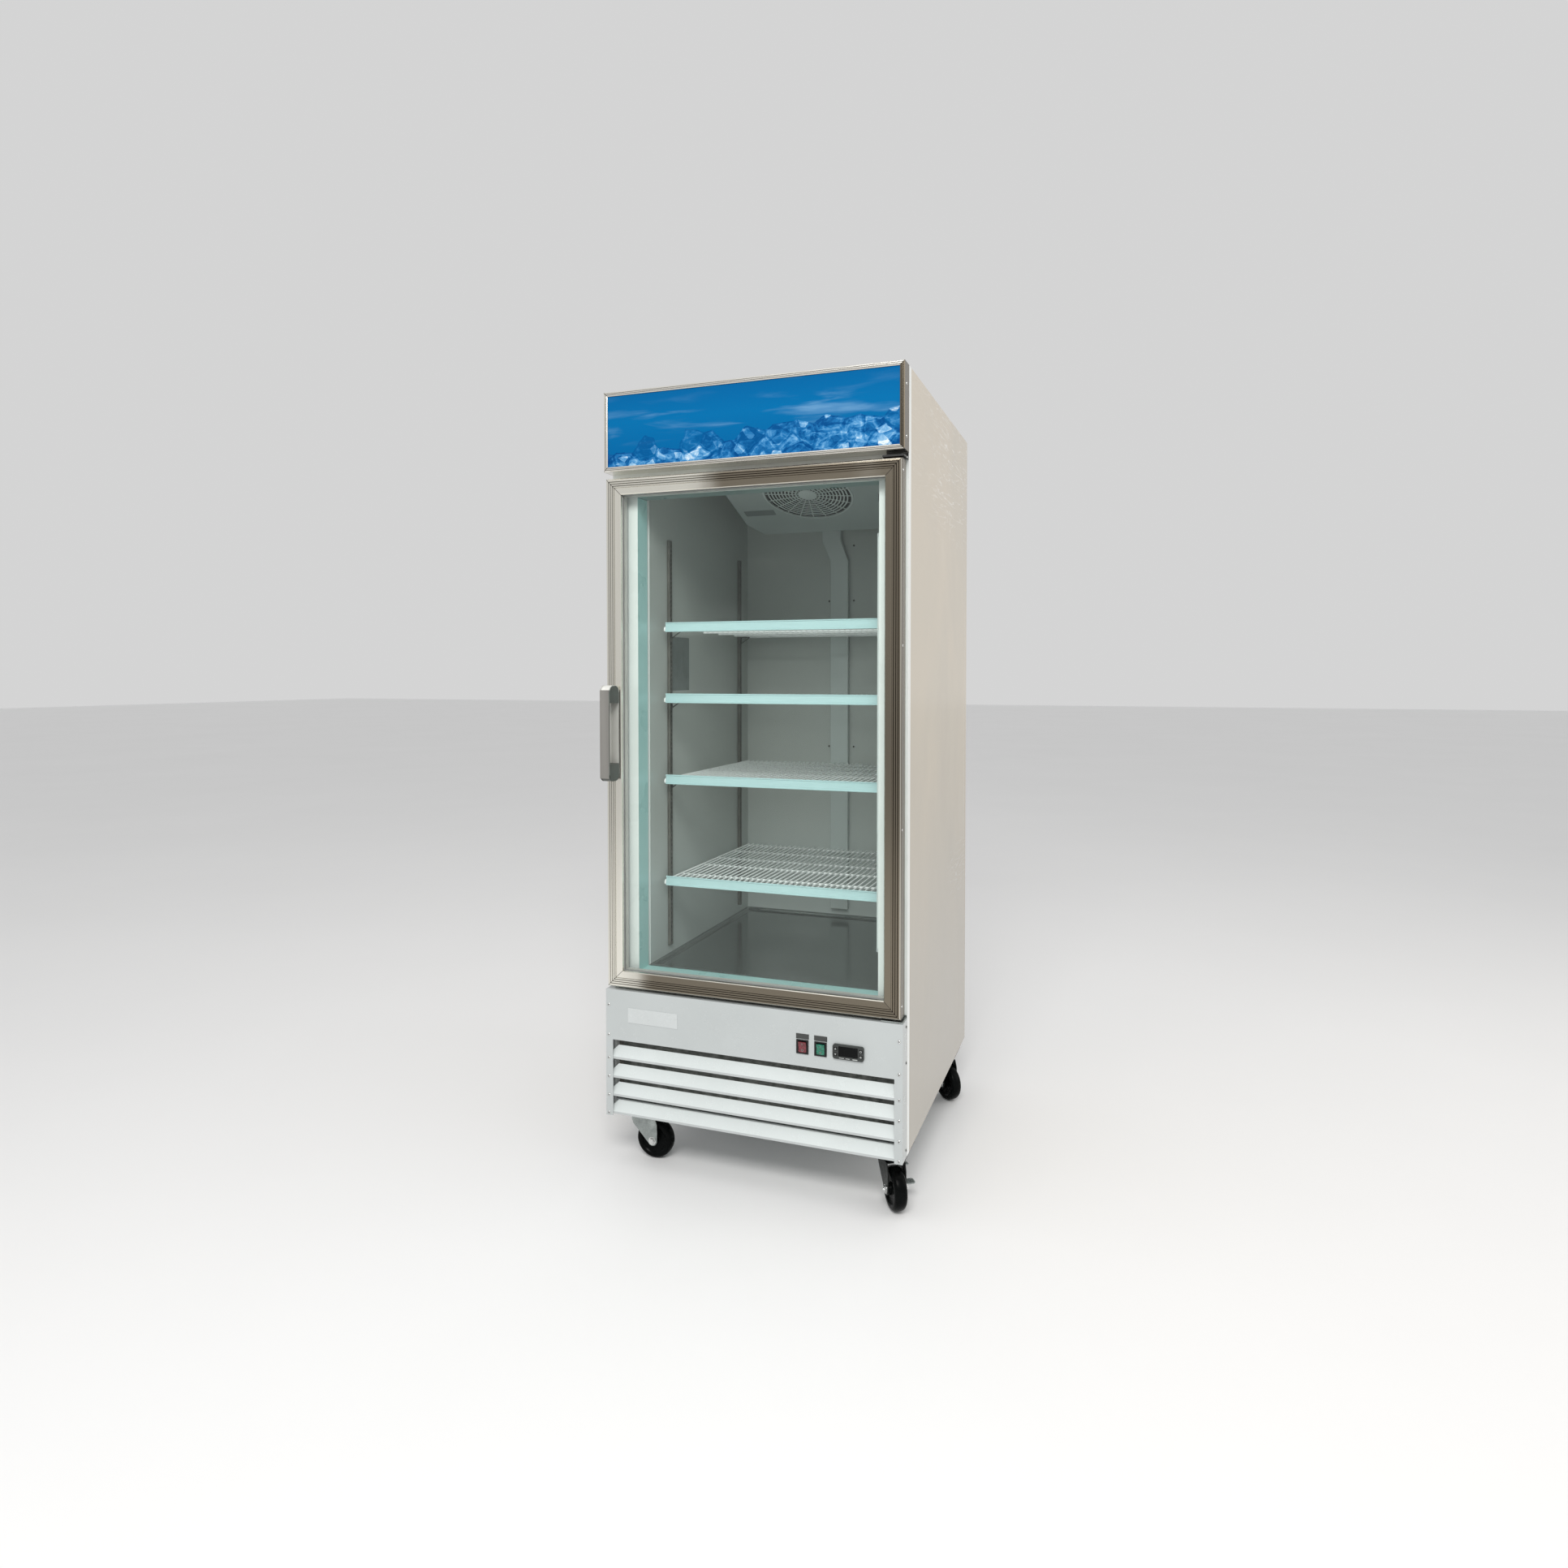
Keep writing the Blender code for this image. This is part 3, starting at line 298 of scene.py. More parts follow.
def side_film_look():
    """White enamel under a loose clear protective film, with a bare front strip: the film's warm beige is
    painted reflection, its creases are painted highlights, and it is painted darker towards the bottom as
    shade.
    """
    look = Look("side_enamel_under_film", (0.62, 0.59, 0.54), 0.16, Coat_Weight=0.12, Coat_Roughness=0.08,
                Specular_IOR_Level=0.25)
    y, z = look.axes()[1:]
    sway = look.noise(look.place(), 2.3, 3.0, 0.5)
    film = look.span(y, 0.0685, 0.07)
    broad = look.noise(look.place((1.0, 1.3, 0.8)), 1.7, 4.0, 0.55, 0.6)
    # the warm beige ramp: painted reflection of the surroundings in the glossy film
    warm = look.ramp(broad, [
        (0.25, (0.56, 0.505, 0.42)), (0.46, (0.6, 0.54, 0.443)), (0.6, (0.628, 0.557, 0.452)),
        (0.8, (0.665, 0.605, 0.51))])
    streak = look.noise(look.place((1.0, 1.1, 13.0)), 3.2, 3.0, 0.5, 1.4)
    creased = look.ease(look.apart(streak, 0.5), 0.0, 0.028, 0.55, 0.0)
    rear = look.ease(y, 0.22, 0.5, 0.15, 1.0)
    high = look.times(look.ease(z, 1.62, 1.8), rear)
    low_band = look.times(look.ease(z, 0.6, 0.66), look.ease(z, 0.74, 0.8, 1.0, 0.0))
    low_band = look.times(low_band, look.ease(y, 0.5, 0.8))
    creased = look.times(creased, look.math("MAXIMUM", high, low_band))
    # the creases near the top rear and in a low rear band are painted near-white: painted highlights
    warm = look.mix(creased, warm, (0.95, 0.94, 0.9))
    # painted shade: darker towards the bottom
    warm = look.mix(look.ease(z, 1.3, 0.3, 0.0, 0.75), warm, (0.36, 0.34, 0.3))
    bare = (0.88, 0.9, 0.88)
    speck = look.noise(look.place(), 800.0, 2.0, 0.5)
    look.set("Base Color", look.mix(film, bare, warm))
    ripple = look.noise(look.place((1.0, 6.0, 55.0)), 1.5, 4.0, 0.55, 0.8)
    taut = look.plus(look.times(creased, 1.6), 0.12)
    height = look.plus(look.times(ripple, look.times(film, taut)), look.times(sway, 0.8))
    edge = look.times(film, 0.12)
    first = look.bump(look.plus(height, edge), 0.0016, 0.35)
    look.bump(speck, 0.00001, 0.5, first)
    look.gloss(broad, 0.13, 0.2)
    return look


def face_frame_look():
    """Moulded frame round the door opening: white in front, aqua where it turns into the cabinet, with
    painted shade on the aqua top.
    """
    look = Look("face_frame_plastic", (0.78, 0.82, 0.8), 0.3, Coat_Weight=0.25, Coat_Roughness=0.2)
    y, z = look.axes()[1:]
    soft = look.noise(look.place(), 9.0, 4.0, 0.5)
    aqua = look.blend(soft, (0.38, 0.64, 0.62), (0.44, 0.7, 0.68))
    # painted shade on the throat's downward-facing top, above z 1.74
    aqua = look.mix(look.span(z, 1.74, 1.7416, 0.0, 0.85), aqua, (0.14, 0.19, 0.18))
    white = look.blend(soft, (0.72, 0.76, 0.735), (0.77, 0.81, 0.785))
    look.set("Base Color", look.mix(look.span(y, 0.0476, 0.0486), white, aqua))
    fine = look.noise(look.place(), 900.0, 2.0, 0.5)
    look.gloss(soft, 0.24, 0.36)
    look.bump(fine, 0.00002, 0.6)
    return look


def sign_look():
    """A glossy printed panel: blue sky with thin cloud over a bank of pale ice."""
    look = Look("sign_picture", (0.0, 0.14, 0.43), 0.16, Specular_IOR_Level=0.08)
    x, _, z = look.axes()
    up = look.less(z, HEADER_BOTTOM)
    flat = look.node("ShaderNodeCombineXYZ", {0: x, 1: up}).outputs[0]

    sky = look.ramp(look.span(up, 0.04, 0.19), [
        (0.0, (0.0, 0.1, 0.275)), (0.55, (0.0, 0.12, 0.31)), (1.0, (0.0, 0.098, 0.275))])
    cloud = look.noise(look.place((3.6, 26.0, 1.0), (0.7, 0.3, 0.0), flat), 1.0, 4.0, 0.5, 0.4)
    drift = look.noise(look.place((9.0, 70.0, 1.0), (0.2, 0.9, 0.0), flat), 1.0, 3.0, 0.5)
    band = look.times(look.ease(up, 0.055, 0.095), look.ease(up, 0.125, 0.165, 1.0, 0.25))
    wisp = look.times(look.ease(cloud, 0.5, 0.74), band)
    wisp = look.times(wisp, look.span(drift, 0.2, 0.7, 0.55, 1.0))
    sky = look.mix(look.times(wisp, 0.75), sky, (0.16, 0.33, 0.52))

    warp = look.noise(look.place(source=flat), 30.0, 2.0, 0.5, out="Color")
    push = {0: look.place(source=warp, offset=(-0.5, -0.5, 0.0)), 1: (0.016, 0.012, 0.0)}
    pushed = look.node("ShaderNodeVectorMath", push, operation="MULTIPLY").outputs[0]
    bent = look.node("ShaderNodeVectorMath", {0: flat, 1: pushed}, operation="ADD").outputs[0]
    squat = look.place((1.0, 1.25, 1.0), source=bent)

    def cells(scale, feature, vector=squat):
        inputs = {"Vector": vector, "Scale": scale, "Randomness": 0.95}
        return look.node("ShaderNodeTexVoronoi", inputs, feature=feature, voronoi_dimensions="2D")

    cube = cells(17.0, "F1")
    crack = cells(17.0, "DISTANCE_TO_EDGE").outputs["Distance"]
    facet = cells(46.0, "F1")
    facet_edge = cells(46.0, "DISTANCE_TO_EDGE").outputs["Distance"]
    centre = look.axes(cube.outputs["Position"])
    across = look.node("ShaderNodeCombineXYZ", {0: centre[0]}).outputs[0]
    skyline = look.noise(across, 7.0, 2.0, 0.5)
    rise = look.span(centre[0], -0.36, 0.36, 0.05, 0.092)
    crest = look.plus(rise, look.span(skyline, 0.3, 0.7, -0.018, 0.022))
    level = look.math("DIVIDE", centre[1], 1.25)
    in_ice = look.math("LESS_THAN", level, crest)

    tone = look.axes(cube.outputs["Color"])
    glint = look.axes(facet.outputs["Color"])
    swirl = look.noise(look.place((30.0, 46.0, 1.0), source=bent), 1.0, 4.0, 0.6, 1.2)
    value = look.times(tone[0], 0.34)
    value = look.plus(value, look.times(look.math("POWER", glint[1], 4.0), 0.56))
    value = look.plus(value, look.span(swirl, 0.35, 0.75, -0.2, 0.42))
    value = look.plus(value, look.span(up, 0.0, 0.1, 0.03, -0.06))
    value = look.less(value, look.span(crack, 0.0, 0.08, 0.11, 0.0))
    seam = look.times(look.span(crack, 0.1, 0.15, 1.0, 0.0), look.span(crack, 0.06, 0.1, 0.0, 0.12))
    value = look.plus(value, seam)
    value = look.plus(value, look.span(facet_edge, 0.0, 0.06, 0.07, 0.0))
    ice = look.ramp(value, [
        (0.05, (0.0, 0.055, 0.2)), (0.3, (0.01, 0.13, 0.34)), (0.52, (0.075, 0.255, 0.49)),
        (0.74, (0.24, 0.43, 0.62)), (0.96, (0.62, 0.7, 0.76))])
    near = look.ease(look.less(crest, level), 0.0, 0.035, 0.45, 1.0)
    ice = look.mix(near, sky, ice)
    look.set("Base Color", look.mix(in_ice, sky, ice))
    look.gloss(drift, 0.11, 0.18)
    look.bump(look.noise(look.place(), 3.0, 2.0, 0.5), 0.0012, 0.25)
    return look


def glass_look():
    """Clear float glass: it passes light straight on with a green cast and mirrors by angle."""
    look = Look("float_glass", (0.86, 0.94, 0.91), 0.02)
    smear = look.noise(look.place((1.0, 1.0, 2.5)), 5.0, 4.0, 0.6)
    haze = look.span(smear, 0.55, 0.9, 0.0, 0.012)
    through = look.node("ShaderNodeBsdfTransparent", {"Color": (0.975, 0.993, 0.987, 1.0)})
    clear = look.node("ShaderNodeBsdfTransparent", {"Color": (1.0, 1.0, 1.0, 1.0)})
    gloss = look.node("ShaderNodeBsdfAnisotropic", {"Color": (0.95, 1.0, 0.98, 1.0), "Roughness": 0.02})
    film = look.node("ShaderNodeBsdfDiffuse", {"Color": (0.75, 0.8, 0.78, 1.0)})
    angle = look.times(look.node("ShaderNodeFresnel", {"IOR": 1.45}).outputs[0], 0.34)
    path = look.node("ShaderNodeLightPath")

    def blend(share, first, second):
        made = look.node("ShaderNodeMixShader")
        look.plug(made.inputs[0], share)
        look.tree.links.new(first.outputs[0], made.inputs[1])
        look.tree.links.new(second.outputs[0], made.inputs[2])
        return made

    seen = blend(haze, blend(angle, through, gloss), film)
    passing = look.math("MAXIMUM", path.outputs["Is Shadow Ray"], path.outputs["Is Diffuse Ray"])
    shown = blend(passing, seen, clear)
    look.tree.links.new(shown.outputs[0], look.output.inputs["Surface"])
    look.tree.nodes.remove(look.shader)
    return look


def liner_look():
    """Pale enamelled liner sheet with a faint rolled texture; inside the cavity it is painted darker than
    the outer skin, with painted shade towards the ceiling and painted light towards the floor.
    """
    look = Look("liner_sheet", (0.56, 0.575, 0.545), 0.32)
    x, y, z = look.axes()
    cloud = look.noise(look.place(), 2.6, 4.0, 0.55)
    smear = look.noise(look.place((1.0, 1.0, 0.5)), 11.0, 5.0, 0.6)
    shade = look.blend(cloud, (0.445, 0.472, 0.447), (0.48, 0.503, 0.478))
    shade = look.mix(look.span(smear, 0.55, 0.85, 0.0, 0.05), shade, (0.56, 0.57, 0.55))
    # painted shade towards the ceiling and painted light towards the floor, where light through the door
    # falls
    shade = look.mix(look.ease(z, 0.75, 1.8, 0.0, 0.3), shade, (0.27, 0.31, 0.295))
    shade = look.mix(look.ease(z, 0.95, 0.55, 0.0, 0.55), shade, (0.56, 0.62, 0.61))
    # inside the cavity the liner takes a darker grey than the outer skin: painted shade of the cavity, lit
    # only through the door
    between = look.math("LESS_THAN", look.math("ABSOLUTE", x), CAVITY_HALF + 0.0008)
    before = look.math("LESS_THAN", y, CAVITY_BACK + 0.001)
    below = look.math("LESS_THAN", z, CAVITY_CEILING + 0.001)
    inside = look.times(between, look.times(before, below))
    skin = look.blend(cloud, (0.6, 0.62, 0.61), (0.66, 0.68, 0.67))
    look.set("Base Color", look.mix(inside, skin, shade))
    look.gloss(smear, 0.3, 0.34)
    look.bump(look.noise(look.place(), 160.0, 2.0, 0.5), 0.00001, 0.3)
    return look


def floor_pan_look():
    """Stainless floor pan, dark and finely brushed from front to back."""
    look = Look("pan_stainless", (0.2, 0.215, 0.205), 0.14, 0.85)
    grain = look.noise(look.place((160.0, 2.0, 160.0)), 1.0, 3.0, 0.6)
    cloud = look.noise(look.place(), 5.0, 4.0, 0.55)
    shade = look.blend(cloud, (0.16, 0.175, 0.168), (0.21, 0.225, 0.215))
    look.set("Base Color", look.mix(look.span(grain, 0.3, 0.7, 0.0, 0.12), shade, (0.3, 0.31, 0.3)))
    look.gloss(cloud, 0.12, 0.18)
    return look


def fin_look():
    """Stacked aluminium fins, with dark bands painted between them as shade."""
    look = Look("coil_fins", (0.55, 0.56, 0.57), 0.35, 1.0)
    wave = look.waves(130.0, 0.6, 1.0, "X")
    cloud = look.noise(look.place(), 20.0, 4.0, 0.6)
    # dark bands between the fins: painted shade in the gaps
    shade = look.mix(look.span(wave, 0.2, 0.7), (0.06, 0.06, 0.06), (0.6, 0.61, 0.62))
    look.set("Base Color", look.mix(look.span(cloud, 0.5, 0.8, 0.0, 0.4), shade, (0.25, 0.24, 0.22)))
    look.gloss(cloud, 0.28, 0.5)
    look.bump(wave, 0.0004, 0.8)
    return look


def lens_look(name, colour, glow):
    """Tinted translucent switch plastic, ribbed inside."""
    look = Look(name, colour, 0.16, Coat_Weight=0.6, Coat_Roughness=0.05, IOR=1.5)
    ribs = look.waves(95.0, 1.5, 2.0, "Z")
    cloud = look.noise(look.place(), 240.0, 3.0, 0.6)
    deep = tuple(c * 0.35 for c in colour)
    shade = look.mix(look.span(ribs, 0.3, 0.8, 0.0, 0.6), colour, deep)
    look.set("Base Color", look.mix(look.span(cloud, 0.45, 0.75, 0.0, 0.8), shade, glow))
    look.gloss(cloud, 0.12, 0.22)
    look.bump(ribs, 0.00006, 0.4)
    return look


white_paint = finish_look(
    "white_enamel", (0.465, 0.495, 0.495), 0.24, vary=0.03, patch=5.0, grain=420.0, relief=0.00004,
    spread=0.06, dust=0.1, Coat_Weight=0.35, Coat_Roughness=0.12)
# The frames' colour carries painted reflection, painted highlights and painted shade; see extrusion_look.
door_metal = extrusion_look(
    "door_aluminium", (-DOOR_HALF, DOOR_BOTTOM), (DOOR_HALF, DOOR_TOP), light=(0.86, 0.84, 0.76),
    dark=(0.23, 0.2, 0.155),
    grooves=((0.0066, 0.0094, 0.5), (0.0121, 0.0149, 0.5), (0.0176, 0.0204, 0.5), (0.0226, 0.024, 0.4)),
    ridge_highlights=(0.002, 0.0403), drift=(0.42, -0.3), band=0.44, low_rail=0.62, post=(0.0, 0.4))
header_metal = extrusion_look(
    "header_aluminium", (-HALF_WIDTH, HEADER_BOTTOM), (HALF_WIDTH, TOP), light=(0.96, 0.94, 0.88),
    dark=(0.3, 0.26, 0.2), grooves=((0.0033, 0.0053, 0.5), (0.0068, 0.0088, 0.5), (0.0112, 0.0124, 0.5)),
    ridge_highlights=(), drift=(0.3, 0.16), band=0.0, low_rail=0.1, post=(0.8, 0.8))
side_film = side_film_look()
face_plastic = face_frame_look()
sign = sign_look()
glass = glass_look()
liner = liner_look()
pan = floor_pan_look()
fins = fin_look()
red_lens = lens_look("red_lens", (0.12, 0.003, 0.009), (0.3, 0.03, 0.05))
green_lens = lens_look("green_lens", (0.0, 0.125, 0.07), (0.0, 0.34, 0.21))
handle_metal = finish_look(
    "handle_aluminium", (0.315, 0.305, 0.285), 0.38, 0.75, vary=0.1, grain=300.0, spread=0.08,
    stretch=(6.0, 6.0, 0.25))
grey_plastic = finish_look(
    "grey_plastic", (0.085, 0.092, 0.082), 0.42, vary=0.12, grain=1100.0, relief=0.00004)
black_plastic = finish_look(
    "black_plastic", (0.008, 0.008, 0.008), 0.38, vary=0.3, grain=1200.0, relief=0.00003,
    Specular_IOR_Level=0.3)
bezel_plastic = finish_look(
    "bezel_plastic", (0.026, 0.03, 0.028), 0.42, vary=0.2, grain=1200.0, relief=0.00003)
display_lens = finish_look(
    "display_lens", (0.002, 0.0025, 0.0025), 0.12, vary=0.4, grain=60.0, relief=0.000002, spread=0.04,
    Specular_IOR_Level=0.12)
mark_print = finish_look("mark_print", (0.42, 0.44, 0.43), 0.5, vary=0.12, grain=900.0, relief=0.00001)
rocker_print = finish_look("rocker_print", (0.2, 0.21, 0.2), 0.5, vary=0.12, grain=900.0, relief=0.00001)
label_print = finish_look(
    "label_strip", (0.045, 0.048, 0.046), 0.38, vary=0.25, grain=500.0, relief=0.00002)
# a lighter copy of the plinth's white enamel: painted light on the blades' up-facing slopes
louvre_lit_paint = finish_look(
    "louvre_enamel", (0.62, 0.665, 0.66), 0.26, vary=0.03, patch=5.0, grain=420.0, relief=0.00004,
    spread=0.06, dust=0.1, Coat_Weight=0.35, Coat_Roughness=0.12)
plate_look = finish_look(
    "blank_nameplate", (0.54, 0.57, 0.57), 0.28, vary=0.03, grain=350.0, relief=0.00003, Coat_Weight=0.4,
    Coat_Roughness=0.1)
black_paint = finish_look(
    "black_enamel", (0.014, 0.015, 0.015), 0.3, vary=0.3, grain=600.0, relief=0.00006, dust=0.15)
zinc = finish_look(
    "zinc_plate", (0.33, 0.36, 0.35), 0.3, 0.9, vary=0.22, patch=40.0, grain=500.0, spread=0.12)
black_zinc = finish_look(
    "black_zinc", (0.009, 0.011, 0.01), 0.3, 0.1, vary=0.3, patch=30.0, grain=500.0, spread=0.1,
    Specular_IOR_Level=0.3)
wheel_black = finish_look(
    "wheel_black", (0.002, 0.0025, 0.0025), 0.28, vary=0.5, patch=25.0, grain=300.0, spread=0.07,
    dust=0.02, Specular_IOR_Level=0.05)
bright_steel = finish_look("bright_steel", (0.72, 0.73, 0.72), 0.18, 1.0, vary=0.1, patch=60.0, grain=900.0)
spacer_metal = finish_look("spacer_metal", (0.5, 0.5, 0.47), 0.45, 0.3, vary=0.1)
blank_label = finish_look(
    "blank_label", (0.155, 0.175, 0.17), 0.42, vary=0.1, patch=30.0, grain=300.0, relief=0.00001)
# a brighter copy of the handle's aluminium; on the handle's narrow inner face it is a painted highlight
satin_bright = finish_look(
    "satin_aluminium", (0.74, 0.74, 0.7), 0.42, 0.3, vary=0.05, grain=300.0, stretch=(6.0, 6.0, 0.25))
gasket_grey = finish_look("gasket_vinyl", (0.2, 0.21, 0.21), 0.6, vary=0.1, grain=500.0, relief=0.00005)
wire_white = finish_look(
    "wire_coating", (0.93, 0.96, 0.95), 0.3, vary=0.05, patch=30.0, grain=500.0, relief=0.00006)
mint_strip = finish_look(
    "price_strip", (0.455, 0.655, 0.66), 0.26, vary=0.04, patch=12.0, grain=300.0, relief=0.00003,
    stretch=(0.4, 3.0, 3.0), Coat_Weight=0.3, Coat_Roughness=0.15)
standard_steel = finish_look(
    "standard_steel", (0.19, 0.185, 0.165), 0.36, 0.5, vary=0.2, patch=20.0, grain=500.0)
clip_steel = finish_look("clip_steel", (0.1, 0.1, 0.09), 0.35, 0.8, vary=0.2, patch=40.0, grain=500.0)
pale_plastic = finish_look(
    "pale_plastic", (0.5, 0.55, 0.535), 0.36, vary=0.04, patch=6.0, grain=700.0, relief=0.00004)
# a darker copy of the pale plastic: painted shade on the cover's down-facing underside
cover_plastic = finish_look(
    "cover_plastic", (0.335, 0.38, 0.37), 0.36, vary=0.05, patch=6.0, grain=700.0, relief=0.00004)
lamp_white = finish_look(
    "lamp_diffuser", (0.7, 0.75, 0.73), 0.3, vary=0.04, grain=300.0, relief=0.00002, Coat_Weight=0.3,
    Coat_Roughness=0.2)
compressor_black = finish_look(
    "compressor_enamel", (0.016, 0.017, 0.018), 0.28, vary=0.3, grain=300.0, relief=0.0001, dust=0.3)
copper = finish_look(
    "copper_pipe", (0.62, 0.27, 0.14), 0.3, 1.0, vary=0.25, patch=30.0, grain=600.0, spread=0.12)
# dark foam for the sheet behind the louvres: painted shade in their gaps
louvre_shade_foam = finish_look(
    "louvre_shade_foam", (0.2, 0.21, 0.195), 0.9, vary=0.4, patch=60.0, grain=420.0, relief=0.0006)
# near-black for the screws' recesses and the standards' slots: painted shade
recess_shade = finish_look("screw_recess", (0.02, 0.02, 0.02), 0.6, vary=0.2, grain=900.0)


# ---- mesh helpers --------------------------------------------------------------------------------
def at(x, y, z):
    return Matrix.Translation((x, y, z))


def turn(degrees, axis):
    return Matrix.Rotation(math.radians(degrees), 4, axis)


def facing(point, direction):
    """Places local Z at a point, along a direction."""
    return at(*point) @ Vector(direction).to_track_quat("Z", "Y").to_matrix().to_4x4()


def arc(centre, radius, start, end, steps, rise=None):
    """Points of an arc, in degrees. rise is the second axis's own radius, for an oval or mirrored one."""
    rise = radius if rise is None else rise
    angles = [math.radians(start + (end - start) * i / steps) for i in range(steps + 1)]
    return [(centre[0] + radius * math.cos(a), centre[1] + rise * math.sin(a)) for a in angles]


def rounded(points, radius, steps, closed=False):
    """A path with its inner corners rounded."""
    points = [Vector(p) for p in points]
    count = len(points)
    path = []
    for i, corner in enumerate(points):
        if not closed and i in (0, count - 1):
            path.append(corner)
            continue
        before = points[i - 1] - corner
        after = points[(i + 1) % count] - corner
        reach = min(radius, before.length * 0.49, after.length * 0.49)
        start = corner + before.normalized() * reach
        end = corner + after.normalized() * reach
        for k in range(steps + 1):
            t = k / steps
            path.append(start * (1 - t) ** 2 + corner * 2 * t * (1 - t) + end * t ** 2)
    return path


def corner_outline(half_w, half_h, radius, steps=6):
    """A rectangle's outline with round corners, about the origin."""
    outline = []
    corners = ((half_w, half_h), (-half_w, half_h), (-half_w, -half_h), (half_w, -half_h))
    for index, (x, z) in enumerate(corners):
        centre = (x - math.copysign(radius, x), z - math.copysign(radius, z))
        outline += arc(centre, radius, index * 90.0, (index + 1) * 90.0, steps)
    return outline


def round_edges(obj, width, segments=2, angle=30.0):
    edge = obj.modifiers.new("edge", "BEVEL")
    edge.width = width
    edge.segments = segments
    edge.limit_method = "ANGLE"
    edge.angle_limit = math.radians(angle)
    edge.harden_normals = True


class Shape:
    """A mesh that is laid out in the cabinet frame, through a matrix where one is given."""

    def __init__(self, place=None):
        self.bm = bmesh.new()
        self.place = place

    def moved(self, place):
        """Sets the matrix for what is added next."""
        self.place = place
        return self

    def ring(self, spots):
        spots = [Vector(spot) for spot in spots]
        return [self.bm.verts.new(self.place @ spot if self.place else spot) for spot in spots]

    def bridge(self, *rings):
        """Faces from each ring of points to the next one; a ring of one point closes an end."""
        for a, b in zip(rings, rings[1:]):
            count = max(len(a), len(b))
            for i in range(count):
                j = (i + 1) % count
                corners = dict.fromkeys((a[i % len(a)], a[j % len(a)], b[j % len(b)], b[i % len(b)]))
                if len(corners) > 2:
                    self.bm.faces.new(list(corners))
        return self

    def wall(self, first, second):
        """The side faces between two outlines."""
        faces = []
        for i in range(len(first)):
            j = (i + 1) % len(first)
            faces.append(self.bm.faces.new((first[i], second[i], second[j], first[j])))
        return faces

    def ends_and_wall(self, first, second):
        self.bm.faces.new(first)
        self.bm.faces.new(second[::-1])
        return self.wall(first, second)

    def block(self, low, high):
        centre = (Vector(low) + Vector(high)) / 2.0
        cube = at(*centre) @ Matrix.Diagonal((*(Vector(high) - Vector(low)), 1.0))
        verts = bmesh.ops.create_cube(self.bm, size=1.0, matrix=cube)["verts"]
        if self.place:
            bmesh.ops.transform(self.bm, matrix=self.place, verts=verts)
        return self

    def blocks(self, *boxes):
        for low, high in boxes:
            self.block(low, high)
        return self

    def prism(self, outline, axis, low, high):
        """A straight extrusion of an outline in the two other axes."""
        order = {"x": (2, 0, 1), "y": (0, 2, 1), "z": (0, 1, 2)}[axis]
        ends = ([[(*pair, along)[i] for i in order] for pair in outline] for along in (low, high))
        self.ends_and_wall(*(self.ring(end) for end in ends))
        return self

    def turned(self, profile, segments=48):
        """A solid of revolution about local Z, from (radius, height) pairs; radius 0 closes an end."""
        rings = []
        for radius, height in profile:
            angles = [2.0 * math.pi * i / segments for i in range(segments if radius else 1)]
            rings.append(self.ring([(radius * math.cos(a), radius * math.sin(a), height) for a in angles]))
        return self.bridge(*rings)

    def lathe(self, profile, segments=48):
        """A closed section turned about local Z."""
        self.turned([*profile, profile[0]], segments)
        bmesh.ops.remove_doubles(self.bm, verts=self.bm.verts, dist=1e-6)
        return self

    def tube(self, points, radius, sides=10, closed=False):
        """A round bar along a path of points."""
        points = [Vector(p) for p in points]
        count = len(points)
        rings = []
        normal = None
        for i, spot in enumerate(points):
            before = points[i - 1] if (i > 0 or closed) else spot
            after = points[(i + 1) % count] if (i < count - 1 or closed) else spot
            heading = (after - before).normalized()
            if normal is None:
                normal = heading.orthogonal().normalized()
            normal = (normal - heading * normal.dot(heading)).normalized()
            side = heading.cross(normal)
            angles = [2.0 * math.pi * k / sides for k in range(sides)]
            spokes = [normal * math.cos(a) + side * math.sin(a) for a in angles]
            rings.append(self.ring([spot + spoke * radius for spoke in spokes]))
        if closed:
            return self.bridge(*rings, rings[0])
        self.bridge(*rings)
        self.bm.faces.new(rings[0])
        self.bm.faces.new(rings[-1][::-1])
        return self

    def paint_second(self, known):
        """Gives the second material to every face that isn't a known one."""
        for face in self.bm.faces:
            if face not in known:
                face.material_index = 1

    def solid(self, name, place=None):
        """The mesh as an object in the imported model's frame."""
        bmesh.ops.recalc_face_normals(self.bm, faces=self.bm.faces)
        mesh = bpy.data.meshes.new(name)
        self.bm.to_mesh(mesh)
        self.bm.free()
        if place:
            mesh.transform(place)
        mesh.transform(Matrix.Translation(SHIFT))
        obj = bpy.data.objects.new(name, mesh)
        bpy.context.scene.collection.objects.link(obj)
        return obj

    def piece(self, name, look, body="cabinet", slot=None, smooth=0.0, bevel=0.0, segments=2, place=None,
              more=()):
        """The mesh as a piece that rides on a CAD body."""
        obj = self.solid(name, place)
        for each in (look, *more):
            obj.data.materials.append(each.material)
        if smooth:
            obj.data.shade_smooth()
            obj.data.set_sharp_from_angle(angle=math.radians(smooth))
        if bevel:
            round_edges(obj, bevel, segments)
        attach(obj, body)
        return obj


def carve(obj, cutters):
    """Cut helper shapes out of an object and drop them."""
    for cutter in [shape.solid("helper") for shape in cutters]:
        change = obj.modifiers.new("cut", "BOOLEAN")
        change.operation = "DIFFERENCE"
        change.solver = "EXACT"
        change.object = cutter
        bpy.context.view_layer.update()
        mesh = bpy.data.meshes.new_from_object(obj.evaluated_get(bpy.context.evaluated_depsgraph_get()))
        obj.modifiers.clear()
        obj.data = mesh
        bpy.data.objects.remove(cutter, do_unlink=True)


